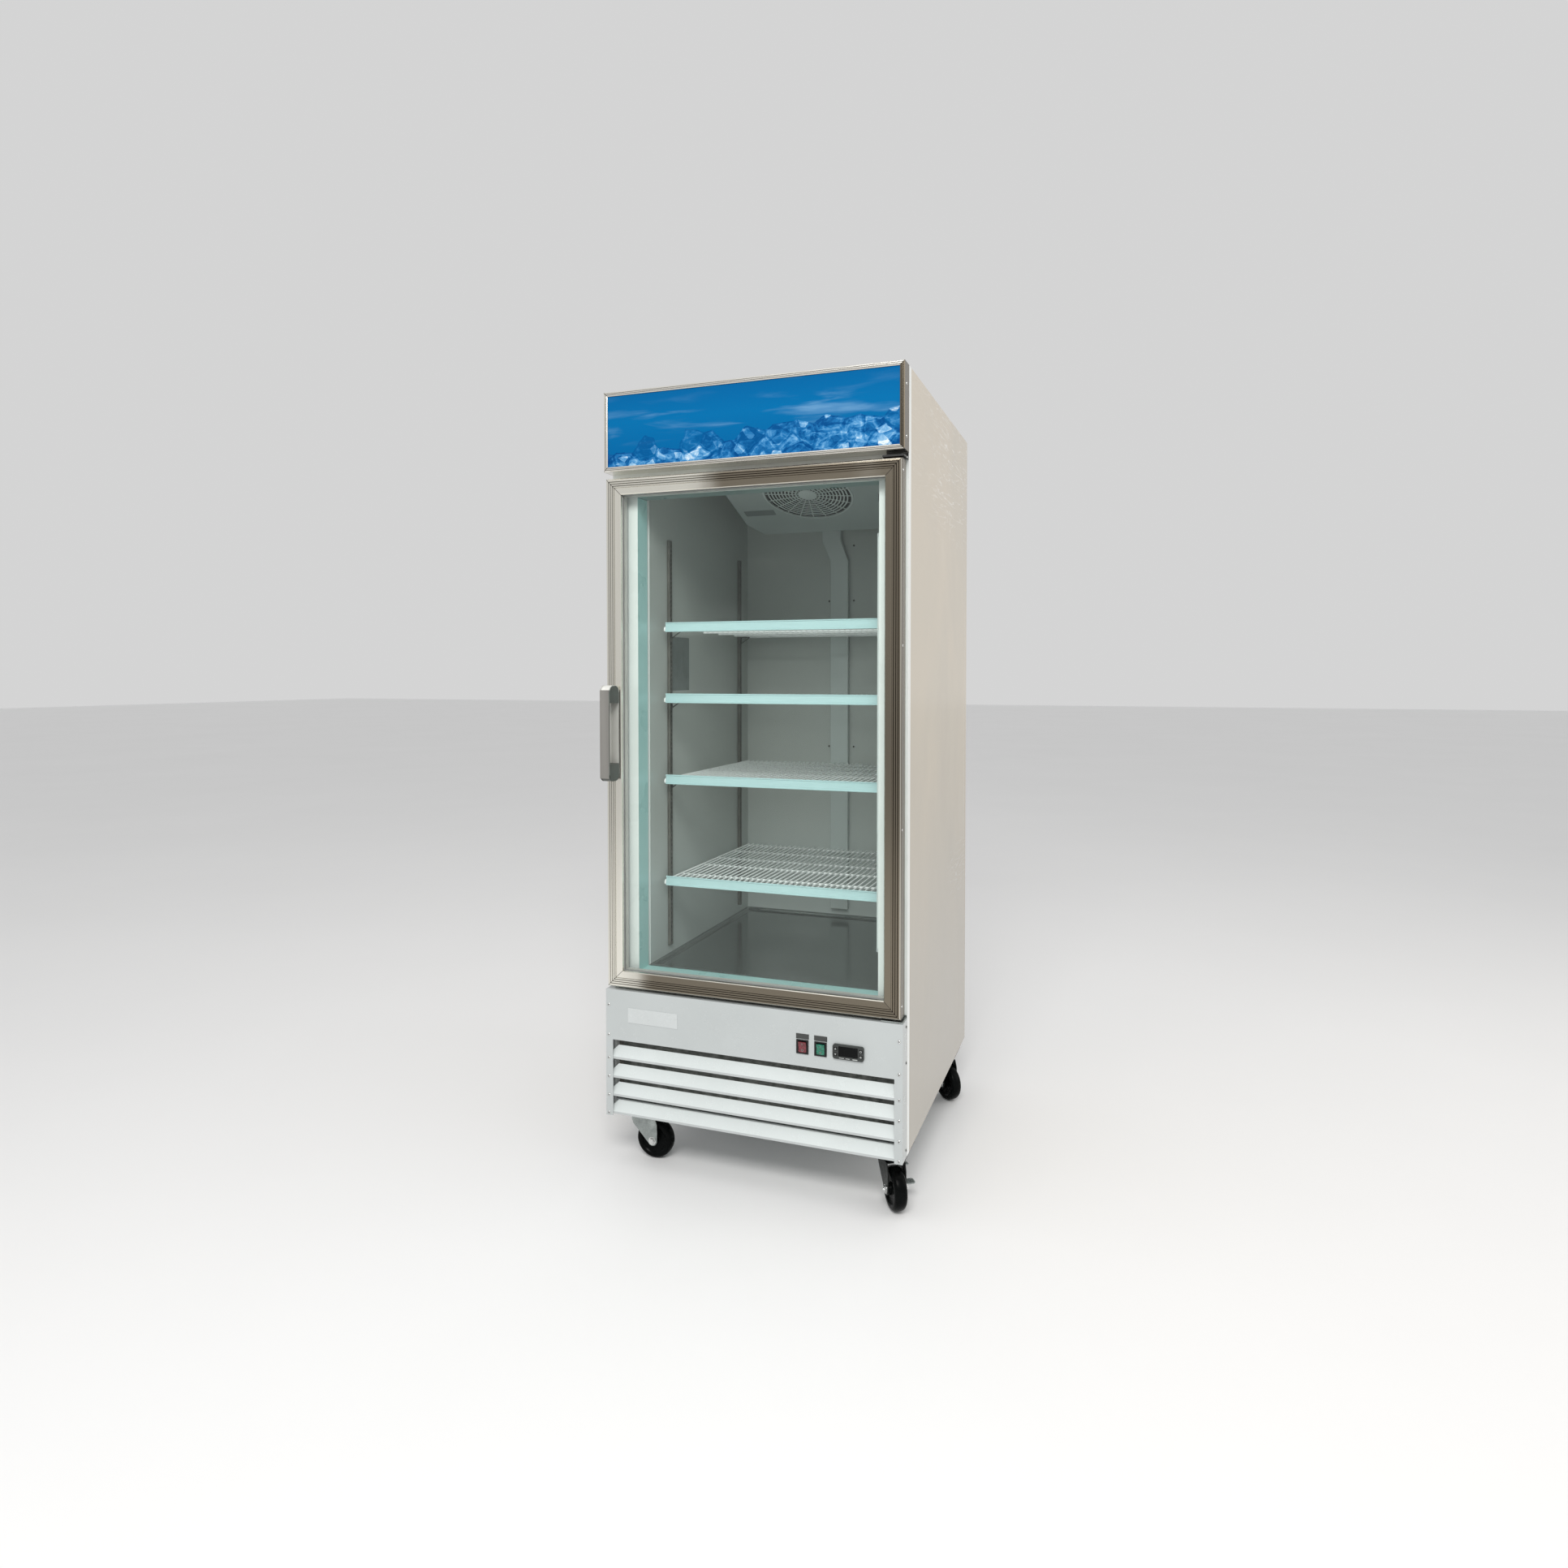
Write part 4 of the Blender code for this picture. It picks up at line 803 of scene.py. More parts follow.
def screws(name, look, spots, radius, height, body="cabinet"):
    """Pan-head screws with a cross recess, drawn as a dark cross of painted shade. spots are (point,
    outward direction) pairs.
    """
    shape = Shape()
    dome = ((1.0, 0.25), (0.93, 0.6), (0.72, 0.9), (0.4, 1.0), (0.0, 1.0))
    profile = [(radius, -0.0003), *((radius * across, height * up) for across, up in dome)]
    for number, (point, direction) in enumerate(spots, start=1):
        shape.moved(facing(point, direction) @ turn(SCREW_TURN * number, "Z")).turned(profile, 20)
        known = set(shape.bm.faces)
        # the cross recess is not cut: a dark cross stands in it, painted shade
        for wide, deep in ((0.62, 0.13), (0.13, 0.62)):
            shape.block((-radius * wide, -radius * deep, height * 0.5),
                        (radius * wide, radius * deep, height + 0.00004))
        shape.paint_second(known)
    shape.piece(name, look, body, smooth=35.0, more=(recess_shade,))


def both_sides(x, y, heights):
    """Screw places on the left and on the right, facing outward."""
    return [((side * x, y, z), (side, 0.0, 0.0)) for side in SIDES for z in heights]


def dress(node, look, bevel):
    """Give a CAD node its material and, where asked, softly rounded edges."""
    obj = nodes[node]
    obj.data.materials.clear()
    obj.data.materials.append(look.material)
    if bevel:
        weld = obj.modifiers.new("weld", "WELD")
        weld.merge_threshold = 0.00002
        round_edges(obj, bevel)


# ---- camera, solved from the photograph ----------------------------------------------------------
camera_data = bpy.data.cameras.new("camera")
camera_data.lens = 22.58
camera_data.sensor_width = 36.0
camera_data.shift_y = -0.0543
camera_data.clip_start = 0.05
camera = bpy.data.objects.new("camera", camera_data)
camera.location = (0.8955, -2.6364, 1.2815)
camera.rotation_euler = (math.radians(90.0 - 1.385), 0.0, math.radians(19.87))
bpy.context.scene.collection.objects.link(camera)
bpy.context.scene.camera = camera

# ---- CAD nodes that keep their own shape: look, bevel, names ---------------------------------------
for look, bevel, *names in (
        (side_film, 0.0, "side_panel_left", "side_panel_right"),
        (liner, 0.0, "insulated_body"),
        (face_plastic, 0.0, "face_frame"),
        (white_paint, 0.0, "base_tray"),
        (white_paint, 0.0004, "grille_frame"),
        (black_plastic, 0.0006, "power_switch_body", "light_switch_body"),
        (red_lens, 0.0, "power_rocker"),
        (green_lens, 0.0, "light_rocker"),
        (black_plastic, 0.0, *(f"controller_button_{number}" for number in range(1, 5))),
        (header_metal, 0.0, "header_frame"),
        (sign, 0.0, "header_panel"),
        (door_metal, 0.0, "door_frame"),
        (glass, 0.0, "glass_outer", "glass_inner"),
        (gasket_grey, 0.0, "door_gasket"),
        (handle_metal, 0.0004, "handle_channel"),
        (grey_plastic, 0.0, "handle_block_top", "handle_block_bottom"),
        (black_paint, 0.0005, "hinge_top"),
        (zinc, 0.0005, "hinge_bottom"),
        (pale_plastic, 0.0, "drain_duct"),
        (lamp_white, 0.0008, "interior_lamp"),
        (fins, 0.0, "evaporator_coil"),
        (black_paint, 0.0, *(f"caster_plate_{label}" for label in CASTERS))):
    for name in names:
        dress(name, look, bevel)


# ---- plinth details ------------------------------------------------------------------------------
def louvre(number, low):
    """A folded blade whose sloping top stops short on the left."""
    section = [
        (0.0122, low), (0.0036, low), (0.0021, low + 0.0012), (0.0021, low + 0.0068),
        (0.003, low + 0.0082), (0.0157, low + 0.0338), (0.0167, low + 0.0333), (0.004, low + 0.0076),
        (0.0031, low + 0.0064), (0.0031, low + 0.0018), (0.004, low + 0.001), (0.0122, low + 0.001)]
    shape = Shape()
    left = [(-(LOUVRE_HALF - 0.026 if z > low + 0.03 else LOUVRE_HALF), y, z) for y, z in section]
    right = [(LOUVRE_HALF, y, z) for y, z in section]
    # the lip's faces take the darker white enamel: painted shade on the front-facing lip
    for face in shape.ends_and_wall(shape.ring(left), shape.ring(right))[:LOUVRE_LIP_FACES]:
        face.material_index = 1
    blade = shape.piece(
        f"louvre_fold_{number}", louvre_lit_paint, slot="white_steel", smooth=25.0, more=(white_paint,))
    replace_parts(blade, f"louvre_blade_{number}")


for number, low in enumerate(LOUVRE_LOWS, start=1):
    louvre(number, low)
post_x = HALF_WIDTH - 0.0085
heights = (0.426, 0.348, 0.2875, 0.2385, 0.19, 0.143)
spots = [((side * post_x, 0.0, z), FORWARD) for side in SIDES for z in heights]
screws("plinth_screws", bright_steel, spots, 0.004, 0.002)
screws("side_screws", clip_steel, both_sides(HALF_WIDTH, 0.036, (0.45, 0.364, 0.155)), 0.0032, 0.0014)
nameplate = Shape().block((-0.329, -0.001, 0.385), (-0.188, 0.0, 0.4235))
nameplate.piece("blank_nameplate", plate_look, bevel=0.0006, segments=3)
strips = Shape().blocks(
    *(((x - 0.0165, -0.0006, 0.403), (x + 0.0165, 0.0, 0.4155)) for x in SWITCH_CENTRES.values()))
strips.piece("switch_label_strips", label_print, bevel=0.0002)

for label, x in SWITCH_CENTRES.items():
    bar_face = facing((0.0, -0.00585, 0.0077), (0.0, -1.0, -0.084))
    ring_face = facing((0.0, -0.00586, -0.0078), (0.0, -1.0, 0.084))
    marks = Shape(bar_face).block((-0.0006, -0.0025, -0.0003), (0.0006, 0.0025, 0.0003)).moved(ring_face)
    marks.lathe([(0.0019, -0.0003), (0.0028, -0.0003), (0.0028, 0.0003), (0.0019, 0.0003)], 28)
    marks.piece(f"{label}_rocker_marks", rocker_print, f"{label}_rocker",
                place=at(x, 0.002, SWITCH_Z) @ turn(ROCKER_REST, "X"))

# ---- temperature controller ----------------------------------------------------------------------
cx, cz = CONTROLLER
outline = [(cx + x, cz + z) for x, z in corner_outline(0.0385, 0.0175, 0.0062)]
shape = Shape().prism(outline, "y", -0.0055, -0.0003)
bezel = shape.piece("controller_bezel", bezel_plastic, slot="grey_plastic")
openings = [((-0.024, -0.0105), (0.024, 0.0135))]
for x in (-KEY_X, KEY_X):
    openings += [((x - KEY_HALF, z - KEY_HALF), (x + KEY_HALF, z + KEY_HALF)) for z in (-KEY_Z, KEY_Z)]
carve(bezel, [Shape().block((cx + low[0], -0.01, cz + low[1]), (cx + high[0], -0.0032, cz + high[1]))
              for low, high in openings])
round_edges(bezel, 0.0009, 3)
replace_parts(bezel, "temperature_controller")
window = Shape().block((cx - 0.0239, -0.0046, cz - 0.0104), (cx + 0.0239, -0.0034, cz + 0.0134))
window.piece("controller_display", display_lens, bevel=0.0004)
shape = Shape()
for low, high in (((-0.022, -0.0152), (-0.01, -0.0138)), ((-0.006, -0.0152), (0.004, -0.0138)),
                  ((0.011, -0.0155), (0.023, -0.0135))):
    shape.block((cx + low[0], -0.00565, cz + low[1]), (cx + high[0], -0.0054, cz + high[1]))
shape.piece("controller_trim", mark_print)

for number, (side, level) in enumerate(((-1.0, 1.0), (-1.0, -1.0), (1.0, 1.0), (1.0, -1.0)), start=1):
    x, z = cx + side * KEY_X, cz + level * KEY_Z
    shape = Shape()
    if side < 0.0:
        points = [
            (x - 0.0024, z - level * 0.0016), (x + 0.0024, z - level * 0.0016), (x, z + level * 0.0024)]
        shape.prism(points, "y", -0.00632, -0.0061)
    elif level > 0.0:
        shape.moved(facing((x, -0.0061, z), FORWARD))
        shape.lathe([(0.0017, 0.0), (0.0025, 0.0), (0.0025, 0.0002), (0.0017, 0.0002)], 28)
    else:
        for k in (-1.0, 0.0, 1.0):
            middle = z + k * 0.0015
            shape.block((x - 0.0022, -0.00632, middle - 0.0004), (x + 0.0022, -0.0061, middle + 0.0004))
    shape.piece(f"controller_mark_{number}", mark_print, f"controller_button_{number}")

# ---- header and door details ---------------------------------------------------------------------
screws("header_screws", bright_steel, both_sides(HALF_WIDTH, 0.021, (1.956, 1.835)), 0.0036, 0.0015)
spots = both_sides(DOOR_HALF, 0.013, (1.756, 1.35, 0.92, 0.505))
screws("door_edge_screws", bright_steel, spots, 0.003, 0.0012, "door")
screws("hinge_screw", bright_steel, [((0.3925, 0.033, 1.789), (1.0, 0.0, 0.0))], 0.0022, 0.001)
cap = [(0.0, 0.4708), (0.0062, 0.4708), (0.0066, 0.4715), (0.0066, 0.4733), (0.006, 0.474), (0.0, 0.4742)]
Shape(at(0.372, 0.012, 0.0)).turned(cap, 28).piece("hinge_pivot_cap", black_plastic, smooth=35.0)


def door_ring(name, look, section, bevel=0.0):
    """A closed section of (inset, y) points, swept round the door's rectangle."""
    shape = Shape()
    rings = []
    for inset, y in section:
        x, z0, z1 = DOOR_HALF - inset, DOOR_BOTTOM + inset, DOOR_TOP - inset
        rings.append(shape.ring([(-x, y, z0), (x, y, z0), (x, y, z1), (-x, y, z1)]))
    shape.bridge(*rings, rings[0]).piece(name, look, "door", bevel=bevel)


door_ring(
    "pane_spacer", spacer_metal, ((0.033, 0.0204), (0.0424, 0.0204), (0.0424, 0.0353), (0.033, 0.0353)))
door_ring(
    "glazing_bead", gasket_grey, ((0.04, 0.0128), (0.0424, 0.0136), (0.0428, 0.0157), (0.04, 0.0157)),
    0.0003)

# sheets of painted light on the channel's inner faces: the narrow side face in the bright satin copy as a
# highlight, the back face in the mid-grey spacer metal, both lighter than the channel's aluminium
shape = Shape().block((-0.3721, -0.0495, 1.0556), (-0.3717, -0.0045, 1.2104))
known = set(shape.bm.faces)
shape.block((-0.3717, -0.0049, 1.0556), (-0.35, -0.0045, 1.2104)).paint_second(known)
shape.piece("handle_inner_faces", satin_bright, "door", "handle_metal", more=(spacer_metal,))
# the bottom cap takes the dark grey plastic: painted shade under the grip
for label, way, seat, cap_look in (("top", 1.0, 1.2378, satin_bright),
                                   ("bottom", -1.0, 1.029, grey_plastic)):
    inner = arc((-0.0203, seat), 0.0162, 0.0, 90.0, 8, way * 0.0162)
    inner += arc((-0.0337, seat), 0.0162, 90.0, 180.0, 8, way * 0.0162)
    outer = arc((-0.0203, seat), 0.0174, 0.0, 90.0, 8, way * 0.0174)
    outer += arc((-0.0345, seat), 0.02, 90.0, 180.0, 8, way * 0.0174)
    foot = seat - way * 0.001
    cheek = [(outer[0][0], foot), *outer, (outer[-1][0], foot)]
    shape = Shape().prism(inner + outer[::-1], "x", -0.3755, -0.3497).prism(cheek, "x", -0.3757, -0.3721)
    shape.piece(f"handle_cap_{label}", cap_look, "door", "handle_metal", smooth=40.0)


# ---- shelves -------------------------------------------------------------------------------------
def shelf_wires(number, top):
    """Wires from front to back that turn down at the front, over rods from side to side."""
    shape = Shape()
    for i in range(WIRE_COUNT):
        x = WIRE_SPAN * (2.0 * i / (WIRE_COUNT - 1) - 1.0)
        thick = 0.0029 if i in (0, WIRE_COUNT - 1) else 0.0023
        corners = [(x, 0.171, top - 0.012), (x, 0.171, top - thick), (x, 0.781, top - thick)]
        shape.tube(rounded(corners, 0.004, 3), thick, 8)
    for y in ROD_YS:
        reach = 0.309 if y in (ROD_YS[0], ROD_YS[-1]) else 0.3072
        shape.tube([(-reach, y, top - 0.0066), (reach, y, top - 0.0066)], 0.003)
    shape.tube([(-0.297, 0.1712, top - 0.0125), (0.297, 0.1712, top - 0.0125)], 0.0022)
    wires = shape.piece(f"shelf_wires_{number}", wire_white, slot="shelf_wire", smooth=50.0)
    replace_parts(wires, f"shelf_{number}")


def price_strip(number, top):
    """A label holder with a hooked top edge and a rolled bottom edge."""
    section = [
        (0.003, 0.0106), (0.0004, 0.011), (-0.001, 0.01), (-0.001, 0.0078), (0.0006, 0.0074),
        (-0.0004, -0.0112), (-0.002, -0.0118), (-0.002, -0.0146), (-0.0004, -0.0152), (0.003, -0.015),
        (0.0032, -0.0134), (0.0012, -0.013), (0.0018, 0.009), (0.003, 0.0092)]
    strip = Shape().prism([(STRIP_FRONT + y, top + z) for y, z in section], "x", -0.302, 0.302)
    strip.piece(f"price_strip_{number}", mint_strip, slot="shelf_wire", bevel=0.0003)


def shelf_clips(number, top):
    """Bent-wire clips under the shelf's corners, each with a tab in its standard."""
    shape = Shape()
    low = top - 0.03
    for side in SIDES:
        wall = side * (CAVITY_HALF - 0.011)
        tab = sorted((wall, wall + side * 0.0012))
        for y in STANDARD_YS.values():
            corners = [(wall, y, top - 0.0095), (wall - side * 0.03, y, top - 0.0095), (wall, y, low)]
            shape.tube(rounded(corners, 0.003, 3, closed=True), 0.0017, 8, closed=True)
            shape.block((tab[0], y - 0.004, low - 0.001), (tab[1], y + 0.004, top - 0.008))
    shape.piece(f"shelf_clips_{number}", clip_steel, smooth=40.0)


def standard(name, side, y):
    """A slotted channel: a flange, a raised face with slots, and a flange."""
    shape = Shape()
    wall, lip, far, back = (side * (CAVITY_HALF - depth) for depth in (0.0003, 0.003, 0.0095, 0.007))
    low, high = STANDARD_LOW, STANDARD_HIGH

    def sheet(target, x, y0, y1, z0, z1):
        x0, x1 = sorted((x, x + side * 0.0012))
        target.block((x0, y + y0, z0), (x1, y + y1, z1))

    sheet(shape, lip, -0.0095, -0.0048, low, high)
    sheet(shape, lip, 0.0048, 0.0095, low, high)
    near, deep = sorted((far, wall))
    for edge_y in (-0.006, 0.0048):
        shape.block((near, y + edge_y, low), (deep, y + edge_y + 0.0012, high))
    sheet(shape, far, -0.006, -0.0028, low, high)
    sheet(shape, far, 0.0028, 0.006, low, high)
    z = low
    for i in range(int((high - low - 0.01) / SLOT_PITCH)):
        slot_low = low + 0.008 + i * SLOT_PITCH
        sheet(shape, far, -0.0028, 0.0028, z, slot_low)
        z = slot_low + SLOT_HEIGHT
    sheet(shape, far, -0.0028, 0.0028, z, high)
    # a dark sheet behind the slots: painted shade in the hollow channel
    shade = Shape()
    sheet(shade, back, -0.0045, 0.0045, low + 0.005, high - 0.005)
    shade.piece(f"{name}_slot_shade", recess_shade)
    channel = shape.piece(f"{name}_slotted", standard_steel, slot="standard_steel")
    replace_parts(channel, name)


for number, top in enumerate(SHELF_TOPS, start=1):
    shelf_wires(number, top)
    price_strip(number, top)
    shelf_clips(number, top)
for side_label, side in zip(("left", "right"), SIDES):
    for end_label, y in STANDARD_YS.items():
        standard(f"shelf_standard_{side_label}_{end_label}", side, y)

# ---- floor pan, duct screws and lamp fittings ------------------------------------------------------
shape = Shape()
rings = []
for inset, z in ((0.0004, 0.5012), (0.0004, 0.5085), (0.0014, 0.5095), (0.011, 0.509), (0.013, 0.5075),
                 (0.015, 0.504), (0.019, 0.5022)):
    x, y0, y1 = CAVITY_HALF - inset, CAVITY_FRONT + inset, CAVITY_BACK - inset
    rings.append(shape.ring([(-x, y0, z), (x, y0, z), (x, y1, z), (-x, y1, z)]))
shape.bridge(*rings)
shape.bm.faces.new(rings[-1])
shape.bm.faces.new(rings[0][::-1])
shape.piece("floor_pan", pan, bevel=0.0008)

duct_spots = ((-0.0365, 1.5195), (0.0455, 1.5195), (0.0455, 1.6945), (-0.0365, 1.052), (0.0455, 1.052))
screws("duct_screws", clip_steel, [((x, CAVITY_BACK, z), FORWARD) for x, z in duct_spots], 0.0034, 0.0018)
wall, lip = CAVITY_HALF - 0.0003, CAVITY_HALF - 0.0062
outline = [(wall, 0.1052), (lip, 0.1022), (0.301, 0.1095), (0.301, 0.1185), (lip, 0.1278), (wall, 0.1278)]
caps = Shape().prism(outline, "z", 0.6, 0.609).prism(outline, "z", 1.6185, 1.6275)
caps.piece("lamp_end_caps", plate_look, bevel=0.0005)
lead = Shape()
lead.tube(rounded([(0.311, 0.115, 1.627), (0.311, 0.115, 1.66), (0.313, 0.114, 1.685)], 0.006, 5), 0.0022)
lead.block((0.306, 0.109, 1.682), (0.319, 0.119, 1.706)).block((0.304, 0.108, 1.704), (0.3195, 0.12, 1.723))
route = [(0.312, 0.114, 1.722), (0.312, 0.114, 1.76), (0.315, 0.14, 1.8), (0.319, 0.15, 1.86)]
lead.tube(rounded(route, 0.02, 8), 0.0024).piece("lamp_lead", black_plastic, smooth=40.0, bevel=0.0005)
label = Shape().block((-CAVITY_HALF + 0.0002, 0.238, 1.238), (-CAVITY_HALF + 0.0006, 0.352, 1.388))
label.piece("liner_label_blank", blank_label)


# ---- evaporator housing and fans -------------------------------------------------------------------
def cover_height(y):
    return 1.8205 - FAN_SLOPE * (y - 0.4201)


def housing():
    """A sheet cover with cut rear corners and a sloping underside, open at the fan."""
    shape = Shape()

    def plan(inset, lift):
        half, front, rear = 0.245 - inset, 0.17 + inset, 0.677 - inset
        corner = 0.209 - inset * 0.6
        spots = [
            (-half, front), (half, front), (half, 0.616), (corner, rear), (-corner, rear), (-half, 0.616)]
        upper = [(x, y, CAVITY_CEILING - 0.0003) for x, y in spots]
        return upper, [(x, y, cover_height(y) + lift) for x, y in spots]

    outer_top, outer_low = (shape.ring(spots) for spots in plan(0.0, 0.0))
    inner_top, inner_low = (shape.ring(spots) for spots in plan(0.002, 0.002))
    shape.bm.faces.new(outer_low)
    shape.bm.faces.new(inner_low)
    shape.wall(outer_top, outer_low)
    shape.wall(inner_low, inner_top)
    shape.wall(inner_top, outer_top)
    cover = shape.piece("evaporator_housing", cover_plastic, slot="pale_plastic")
    opening = [(0.0, -0.03), (FAN_HOLE, -0.03), (FAN_HOLE, 0.03), (0.0, 0.03)]
    carve(cover, [Shape(fan_place).turned(opening, 96)])
    round_edges(cover, 0.004, 4, 28.0)
    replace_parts(cover, "evaporator_cover")


def guard(hub, outer, pitch, bar, spokes, depth):
    """A round fan guard: a hub disc, thin rings, a rim and radial spokes."""
    shape = Shape(fan_place)
    shape.turned([(0.0, -0.0016), (hub - 0.002, -0.0016), (hub, -0.0006), (hub, depth), (0.0, depth)], 72)
    radius = hub + pitch - bar
    while radius + bar < outer:
        shape.lathe(
            [(radius, -0.0002), (radius + bar, -0.0002), (radius + bar, depth), (radius, depth)], 96)
        radius += pitch
    rim = outer + 0.004
    shape.lathe([(outer - 0.001, -0.0026), (rim, -0.0018), (rim + 0.001, 0.0), (rim, 0.0004),
                 (outer - 0.001, depth)], 96)
    for i in range(spokes):
        shape.moved(fan_place @ Matrix.Rotation(2.0 * math.pi * (i + 0.5) / spokes, 4, "Z"))
        shape.block((hub - 0.001, -0.0011, -0.0004), (outer, 0.0011, depth))
    shape.piece("fan_guard", pale_plastic, smooth=35.0)


def rotor(name, node, place, radius, hub, depth=0.018, blades=5, steps=8):
    """A fan with curved, twisted blades on a domed hub."""
    shape = Shape(place)
    half_depth = depth / 2
    shape.turned(
        [(0.0, -half_depth), (hub * 0.8, -half_depth), (hub, 0.003 - half_depth), (hub, half_depth),
        (0.0, half_depth)])
    for i in range(blades):
        rows = []
        for r in range(steps + 1):
            t = r / steps
            reach = hub * 0.95 + (radius - hub * 0.95) * t
            half = math.radians(24.0 + 6.0 * t - 10.0 * t ** 4)
            pitch = math.radians(34.0 - 14.0 * t)
            row = []
            for c in range(steps + 1):
                s = 2 * c / steps - 1.0
                angle = 2.0 * math.pi * i / blades + half * s + 0.22 * t
                lift = half * s * reach * math.tan(pitch) * 0.55 + 0.0012 * (1 - s * s)
                row.append((reach * math.cos(angle), reach * math.sin(angle),
                            max(-BLADE_LIFT, min(BLADE_LIFT, lift))))
            rows.append(shape.ring(row))
        for a, b in zip(rows, rows[1:]):
            for c in range(steps):
                shape.bm.faces.new((a[c], a[c + 1], b[c + 1], b[c]))
    fan = shape.piece(name, black_plastic, node, smooth=40.0)
    solid = fan.modifiers.new("thickness", "SOLIDIFY")
    solid.thickness = 0.0012
    solid.offset = 0.0
    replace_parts(fan, node)


fan_place = at(0.0, FAN_Y, cover_height(FAN_Y)) @ Matrix.Rotation(-FAN_TILT, 4, "X")
housing()
Shape(fan_place).block((-0.226, 0.07, -0.0004), (-0.13, 0.1, 0.0)).piece("cover_label_blank", blank_label)
shroud = [(0.127, 0.0024), (0.1288, 0.0024), (0.1288, 0.064), (0.0, 0.064), (0.0, 0.0625), (0.127, 0.0625)]
Shape(fan_place).lathe(shroud, 72).piece("fan_shroud", black_plastic, smooth=35.0)
guard(0.027, 0.128, 0.0101, 0.0038, 20, 0.0012)
motor = [(0.0, 0.003), (0.028, 0.003), (0.029, 0.0045), (0.029, 0.029), (0.027, 0.031), (0.0, 0.031)]
Shape(fan_place).turned(motor).piece("evaporator_motor", black_plastic, smooth=35.0)
rotor("evaporator_rotor", "evaporator_fan", fan_place @ at(0.0, 0.0, 0.042), 0.112, 0.024)
rotor("condenser_rotor", "condenser_fan", at(-0.04, 0.19, 0.28) @ turn(-90.0, "X"), 0.1, 0.026)

# ---- machine space ---------------------------------------------------------------------------------
place = at(0.12, 0.56, 0.1365)
shape = Shape(place).turned([
    (0.0, 0.012), (0.05, 0.0125), (0.066, 0.016), (0.077, 0.024), (0.0818, 0.036), (0.083, 0.05),
    (0.083, 0.099), (0.0858, 0.1), (0.0862, 0.103), (0.0855, 0.1055), (0.0815, 0.1065), (0.0808, 0.125),
    (0.0785, 0.145), (0.072, 0.161), (0.06, 0.172), (0.035, 0.1785), (0.0, 0.18)], 64)
shape.blocks(
    ((-0.1, -0.02, 0.006), (0.1, 0.02, 0.016)), ((-0.1, -0.09, 0.006), (-0.07, 0.09, 0.01)),
    ((0.07, -0.09, 0.006), (0.1, 0.09, 0.01)), ((-0.03, -0.099, 0.06), (0.03, -0.078, 0.12)))
for x in (-0.085, 0.085):
    for y in (-0.075, 0.075):
        shape.moved(place @ at(x, y, 0.0))
        shape.turned([(0.0, 0.0), (0.012, 0.0), (0.0115, 0.004), (0.009, 0.006), (0.009, 0.01),
                      (0.0045, 0.0105), (0.0045, 0.017), (0.0, 0.017)], 24)
compressor = shape.piece("compressor_shell", compressor_black, slot="black_steel", smooth=35.0, bevel=0.001)
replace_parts(compressor, "compressor")
# a dark foam sheet behind the louvres, set there to darken their gaps: painted shade
Shape().block((-0.37, 0.052, 0.1365), (0.37, 0.056, 0.446)).piece("air_filter_shade_sheet", louvre_shade_foam)

x0, x1, y0, y1, z0, z1 = -0.21, 0.13, 0.09, 0.145, 0.137, 0.43
shape = Shape().blocks(*(((x, y0, z0), (x + 0.0015, y1, z1)) for x in (x0, x1 - 0.0015)))
shape.blocks(*(((x0, y0, z), (x1, y1, z + 0.0015)) for z in (z0, z1 - 0.0015)))
shape.blocks(*(((x, 0.144, 0.274), (x + 0.01, 0.24, 0.286)) for x in (-0.19, 0.1)))
shape.block((-0.19, 0.238, 0.274), (0.11, 0.24, 0.286)).moved(at(-0.04, 0.0, 0.28) @ turn(-90.0, "X"))
shape.turned([(0.0, 0.21), (0.028, 0.21), (0.03, 0.213), (0.03, 0.258), (0.028, 0.26), (0.0, 0.26)])
shape.piece("condenser_bracket", zinc, smooth=35.0)
shape = Shape()
for i in range(FIN_COUNT):
    x = x0 + 0.004 + (x1 - x0 - 0.008) * i / (FIN_COUNT - 1)
    shape.block((x - 0.00025, y0 + 0.001, z0 + 0.002), (x + 0.00025, y1 - 0.001, z1 - 0.002))
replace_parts(shape.piece("condenser_fins", fins, slot="fin_metal"), "condenser")

shape = Shape()
for k in range(PIPE_ROWS):
    z = z0 + 0.016 + (z1 - z0 - 0.032) * k / (PIPE_ROWS - 1)
    for y in (0.105, 0.13):
        shape.tube([(x0 - 0.004, y, z), (x1 + 0.004, y, z)], 0.004, 12)
    for x, way in ((x0 - 0.004, -1.0), (x1 + 0.004, 1.0)):
        angles = [math.pi * i / 8 for i in range(9)]
        shape.tube([(x + way * 0.012 * math.sin(a), 0.1175 - 0.0125 * math.cos(a), z) for a in angles],
                   0.004, 12)
for radius, bend, route in (
        (0.004, 0.04, [(0.134, 0.13, 0.414), (0.17, 0.13, 0.414), (0.23, 0.25, 0.41),
                       (0.23, 0.5, 0.38), (0.15, 0.54, 0.34), (0.15, 0.55, 0.28)]),
        (0.005, 0.03, [(-0.05, 0.8, 0.448), (-0.05, 0.8, 0.36), (0.03, 0.7, 0.34),
                       (0.09, 0.6, 0.34), (0.09, 0.575, 0.285)]),
        (0.003, 0.04, [(0.134, 0.105, 0.153), (0.2, 0.105, 0.153), (0.26, 0.2, 0.16),
                       (0.26, 0.7, 0.17), (0.26, 0.8, 0.2), (0.26, 0.8, 0.448)])):
    shape.tube(rounded(route, bend, 8), radius, 12)
shape.piece("refrigerant_pipes", copper, smooth=50.0)
drier = [(0.0, -0.055), (0.004, -0.054), (0.012, -0.04), (0.0125, 0.04), (0.004, 0.054), (0.0, 0.055)]
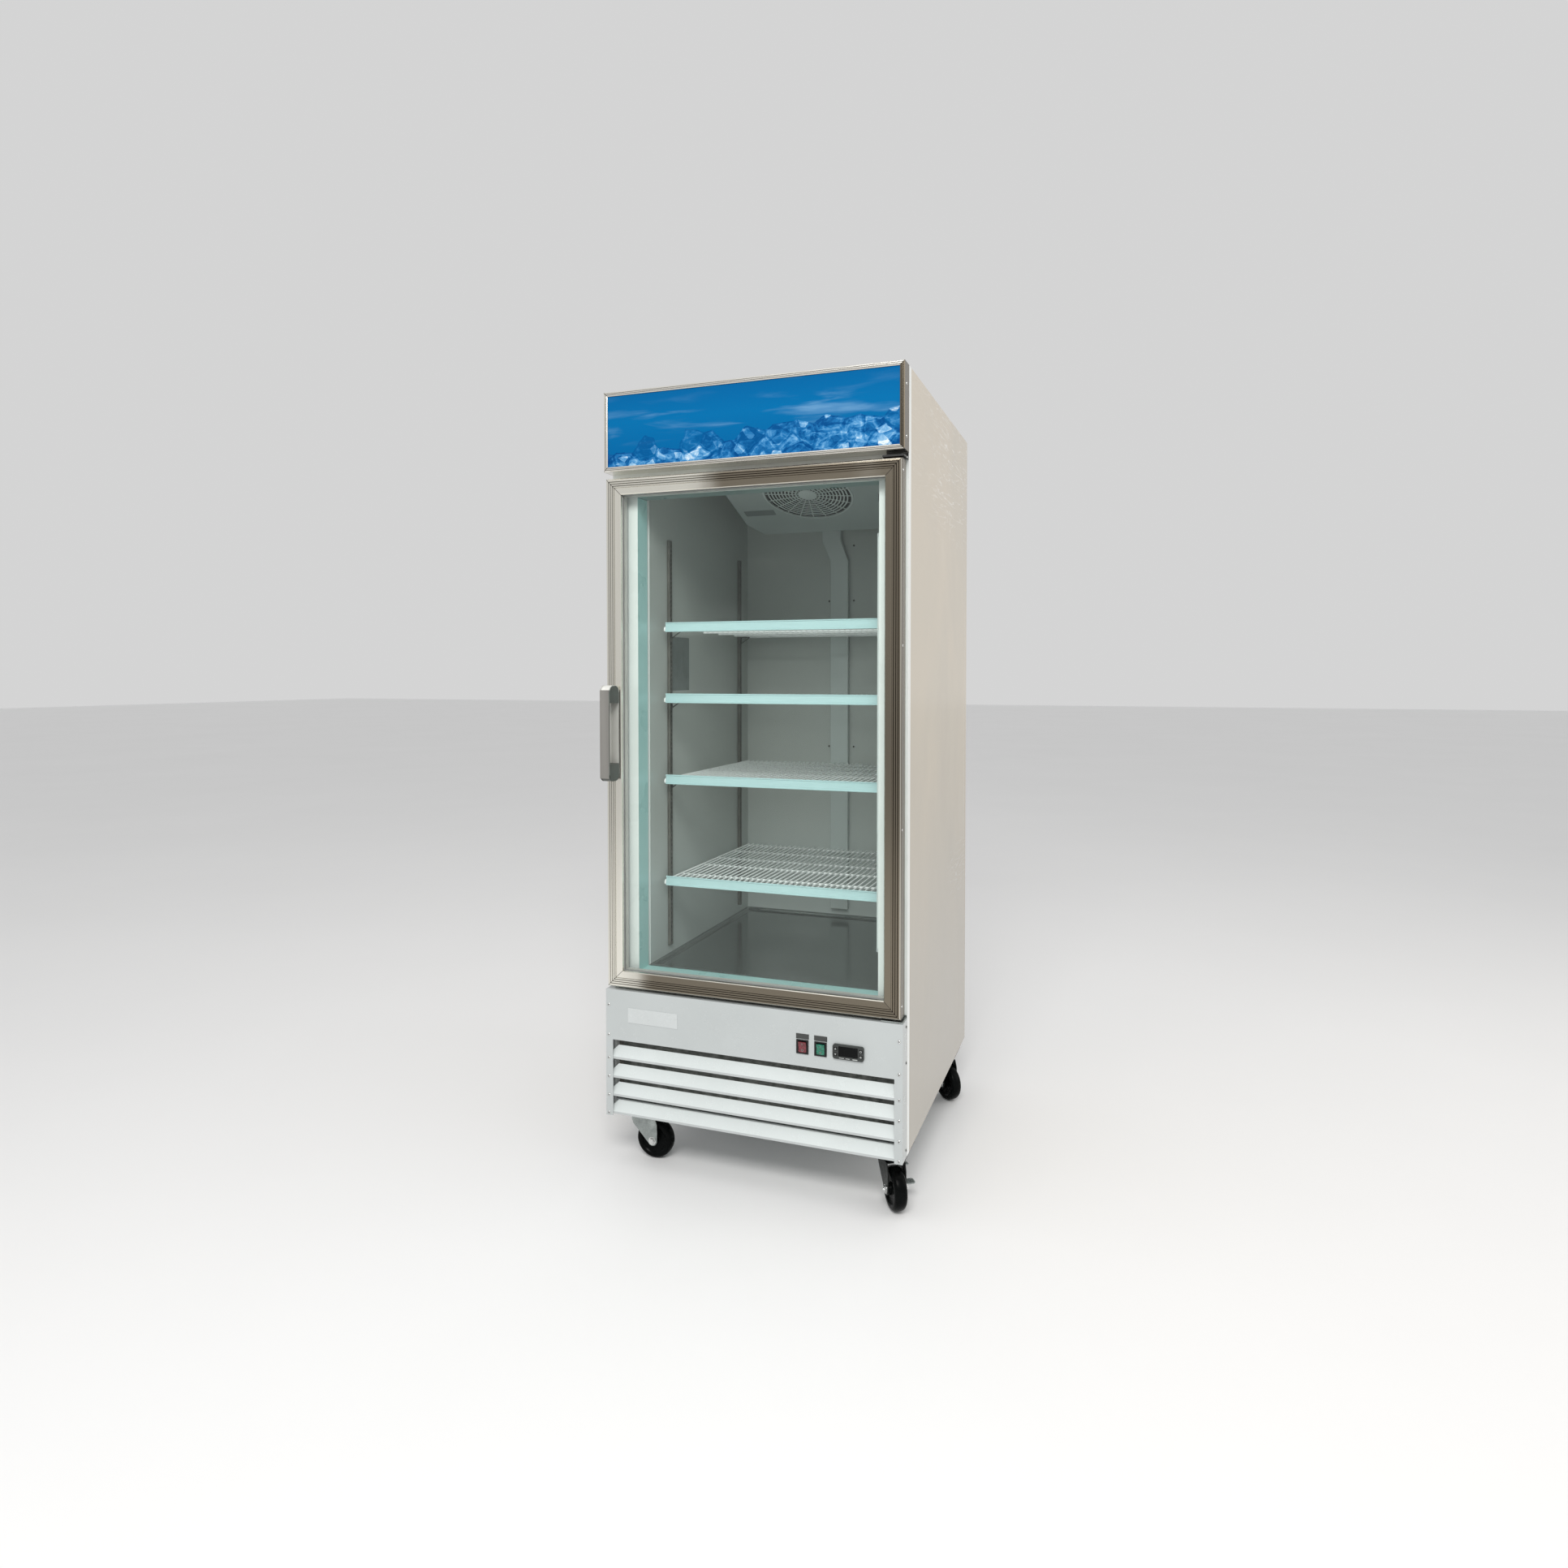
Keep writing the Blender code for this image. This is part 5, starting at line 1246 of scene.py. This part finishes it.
shape = Shape(facing((0.26, 0.42, 0.164), (0.0, 1.0, 0.02))).turned(drier, 32)
shape.piece("filter_drier", copper, smooth=40.0)

x0, x1, y0, y1, thick = -0.28, -0.12, 0.64, 0.82, 0.0015
shape = Shape().block((x0, y0, 0.1365), (x1, y1, 0.14))
for low, high in (((x0, y0), (x1, y0 + thick)), ((x0, y1 - thick), (x1, y1)), ((x0, y0), (x0 + thick, y1)),
                  ((x1 - thick, y0), (x1, y1))):
    shape.block((*low, 0.1365), (*high, 0.1765))
shape.piece("drip_tray", pale_plastic, bevel=0.0006)


# ---- casters ---------------------------------------------------------------------------------------
def caster_fork(label, stem, look):
    """Two legs that hang from a top plate, under the swivel's race."""
    leg = [(-0.027, 0.116), (-0.0265, 0.1), (-0.022, 0.09)]
    leg += arc((CASTER_TRAIL, WHEEL_RADIUS), 0.0135, -150.0, 5.0, 14)
    leg += [(0.048, 0.075), (0.047, 0.095), (0.039, 0.116)]
    top = [(-0.0275, -0.024), (0.039, -0.024), (0.039, 0.024), (-0.0275, 0.024)]
    shape = Shape(stem).prism(leg, "y", 0.021, 0.024).prism(leg, "y", -0.024, -0.021)
    shape.prism(top, "z", 0.113, 0.1163)
    fork = shape.piece(
        f"fork_shell_{label}", look, f"swivel_{label}", smooth=35.0, bevel=0.0012, segments=3)
    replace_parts(fork, f"caster_fork_{label}")
    race = [
        (0.0, 0.116), (0.033, 0.116), (0.0345, 0.118), (0.0345, 0.1205), (0.0315, 0.1225),
        (0.029, 0.1235), (0.0285, 0.1292), (0.0, 0.1292)]
    Shape(stem).turned(race).piece(f"swivel_race_{label}", look, f"swivel_{label}", smooth=35.0)


def axle_nuts(label, axle, pin):
    """The axle with a washer and a nut at each end and, with a brake, its pedal's pin."""
    shape = Shape(axle)
    shape.turned(
        [(0.0, -0.031), (0.004, -0.0308), (0.0044, -0.0295), (0.0044, 0.0295), (0.004, 0.0308),
        (0.0, 0.031)], 24)
    for way in SIDES:
        low, high = sorted((way * 0.0246, way * 0.0295))
        shape.turned([(0.0, low), (0.008, low), (0.0084, low + 0.0008), (0.0084, high - 0.0008),
                      (0.008, high), (0.0, high)], 6)
        low, high = sorted((way * 0.024, way * 0.025))
        shape.turned([(0.0, low), (0.0105, low), (0.0105, high), (0.0, high)], 32)
    if pin:
        shape.moved(pin @ turn(-90.0, "X"))
        shape.turned([(0.0, 0.0235), (0.0038, 0.0235), (0.0038, 0.0292), (0.0066, 0.0294), (0.0062, 0.031),
                      (0.0035, 0.0318), (0.0, 0.032)], 28)
    shape.piece(f"axle_nuts_{label}", bright_steel, f"swivel_{label}", smooth=30.0)


def caster_wheel(label, axle):
    """A tyre, a thin web and a hub, in one section that is the same on both faces."""
    wide, rim, hub = 0.016, WHEEL_RADIUS, 0.0202
    half = [
        (0.00515, hub), (0.0118, hub), (0.013, hub - 0.001), (0.0142, 0.012), (0.016, 0.0108),
        (0.029, 0.0104), (0.0325, 0.0112), (0.0352, 0.0148), (0.037, wide), (0.0415, wide),
        (0.045, wide - 0.0008), (0.0482, wide - 0.0034), (0.05, 0.009), (rim - 0.0002, 0.0045)]
    profile = [*half, (rim, 0.0), *((radius, -side) for radius, side in reversed(half))]
    shape = Shape(axle).lathe(profile, 72)
    wheel = shape.piece(
        f"wheel_moulding_{label}", wheel_black, f"wheel_{label}", "wheel_black", smooth=30.0)
    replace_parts(wheel, f"caster_wheel_{label}")


def brake_pedal(label, pivot):
    """An arm on the pin, a ribbed pedal at its lower end and a tab over the tyre."""
    arm = [(-0.011, -0.03), (0.009, -0.03), (0.0095, 0.006), *arc((0.0, 0.011), 0.0085, 0.0, 180.0, 8),
           (-0.0115, 0.006)]
    pedal = [(x - 0.0035, y + 0.0425) for x, y in corner_outline(0.0115, 0.0155, 0.006)]
    tab = [(x, y + 0.0335) for x, y in corner_outline(0.006, 0.0065, 0.003)]
    shape = Shape(pivot).prism(arm, "y", 0.0246, 0.0276).prism(pedal, "z", -0.031, -0.0278)
    for k in range(6):
        shape.block((-0.013, 0.0315 + k * 0.0042, -0.028), (0.006, 0.0331 + k * 0.0042, -0.0266))
    shape.prism(tab, "z", 0.0162, 0.019)
    lever = shape.piece(f"brake_pedal_{label}", zinc, f"brake_{label}", "zinc", smooth=35.0, bevel=0.0006)
    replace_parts(lever, f"brake_lever_{label}")


bolt_spots = []
for label, (stem_x, stem_y, heading, braked) in CASTERS.items():
    stem = at(stem_x, stem_y, 0.0) @ turn(heading, "Z")
    axle = stem @ at(CASTER_TRAIL, 0.0, WHEEL_RADIUS) @ turn(90.0, "X")
    pivot = stem @ at(0.012, 0.0, 0.078) if braked else None
    # the front-left fork is in the lighter zinc and the others in black zinc: one plating, with the
    # front-left's lighter tone as painted reflection
    caster_fork(label, stem, zinc if label == "front_left" else black_zinc)
    axle_nuts(label, axle, pivot)
    caster_wheel(label, axle)
    if braked:
        brake_pedal(label, pivot)
    bolt_spots += [
        ((math.copysign(x, stem_x), stem_y + dy, 0.1297), (0.0, 0.0, -1.0)) for x in (0.303, 0.38)
        for dy in (-0.043, 0.043)]
screws("caster_bolts", zinc, bolt_spots, 0.0058, 0.003)

# ---- back ------------------------------------------------------------------------------------------
spots = [(x, z) for z in (0.47, 0.85, 1.23, 1.61, 1.985) for x in (-0.378, 0.378)]
spots += [(x, z) for x in (-0.13, 0.13) for z in (0.47, 1.985)]
screws("back_screws", bright_steel, [((x, BACK, z), (0.0, 1.0, 0.0)) for x, z in spots], 0.0035, 0.0016)

# ---- floor and light -----------------------------------------------------------------------------
floor_look = finish_look(
    "studio_floor", (0.84, 0.84, 0.84), 0.6, vary=0.01, patch=0.6, grain=60.0, relief=0.00005)
reach = 40.0
corners = [(-reach, -reach, 0.0), (reach, -reach, 0.0), (reach, reach, 0.0), (-reach, reach, 0.0)]
mesh = bpy.data.meshes.new("studio_floor")
mesh.from_pydata(corners, [], [(0, 1, 2, 3)])
mesh.materials.append(floor_look.material)
studio = bpy.data.objects.new("studio_floor", mesh)
bpy.context.scene.collection.objects.link(studio)

world = bpy.data.worlds.new("studio")
world.use_nodes = True
background = world.node_tree.nodes["Background"]
background.inputs["Color"].default_value = (1.0, 1.0, 1.0, 1.0)
background.inputs["Strength"].default_value = 0.66
bpy.context.scene.world = world


def softbox(name, location, target, size, power, colour=(1.0, 1.0, 1.0)):
    data = bpy.data.lights.new(name, "AREA")
    data.shape = "RECTANGLE"
    data.size, data.size_y = size
    data.energy = power
    data.color = colour
    lamp = bpy.data.objects.new(name, data)
    lamp.location = location
    lamp.rotation_euler = (Vector(target) - Vector(location)).to_track_quat("-Z", "Y").to_euler()
    bpy.context.scene.collection.objects.link(lamp)


softbox("key", (0.9, -3.9, 4.0), (0.0, 0.0, 0.9), (2.2, 1.4), 156.0, (1.0, 0.99, 0.97))
softbox("fill", (4.2, 0.6, 2.4), (0.2, 0.2, 1.1), (2.0, 2.4), 24.0, (1.0, 0.95, 0.88))
softbox("overhead", (0.0, -1.2, 4.4), (0.0, 0.0, 0.8), (3.0, 2.0), 14.0)

bpy.context.scene.view_settings.view_transform = "Standard"
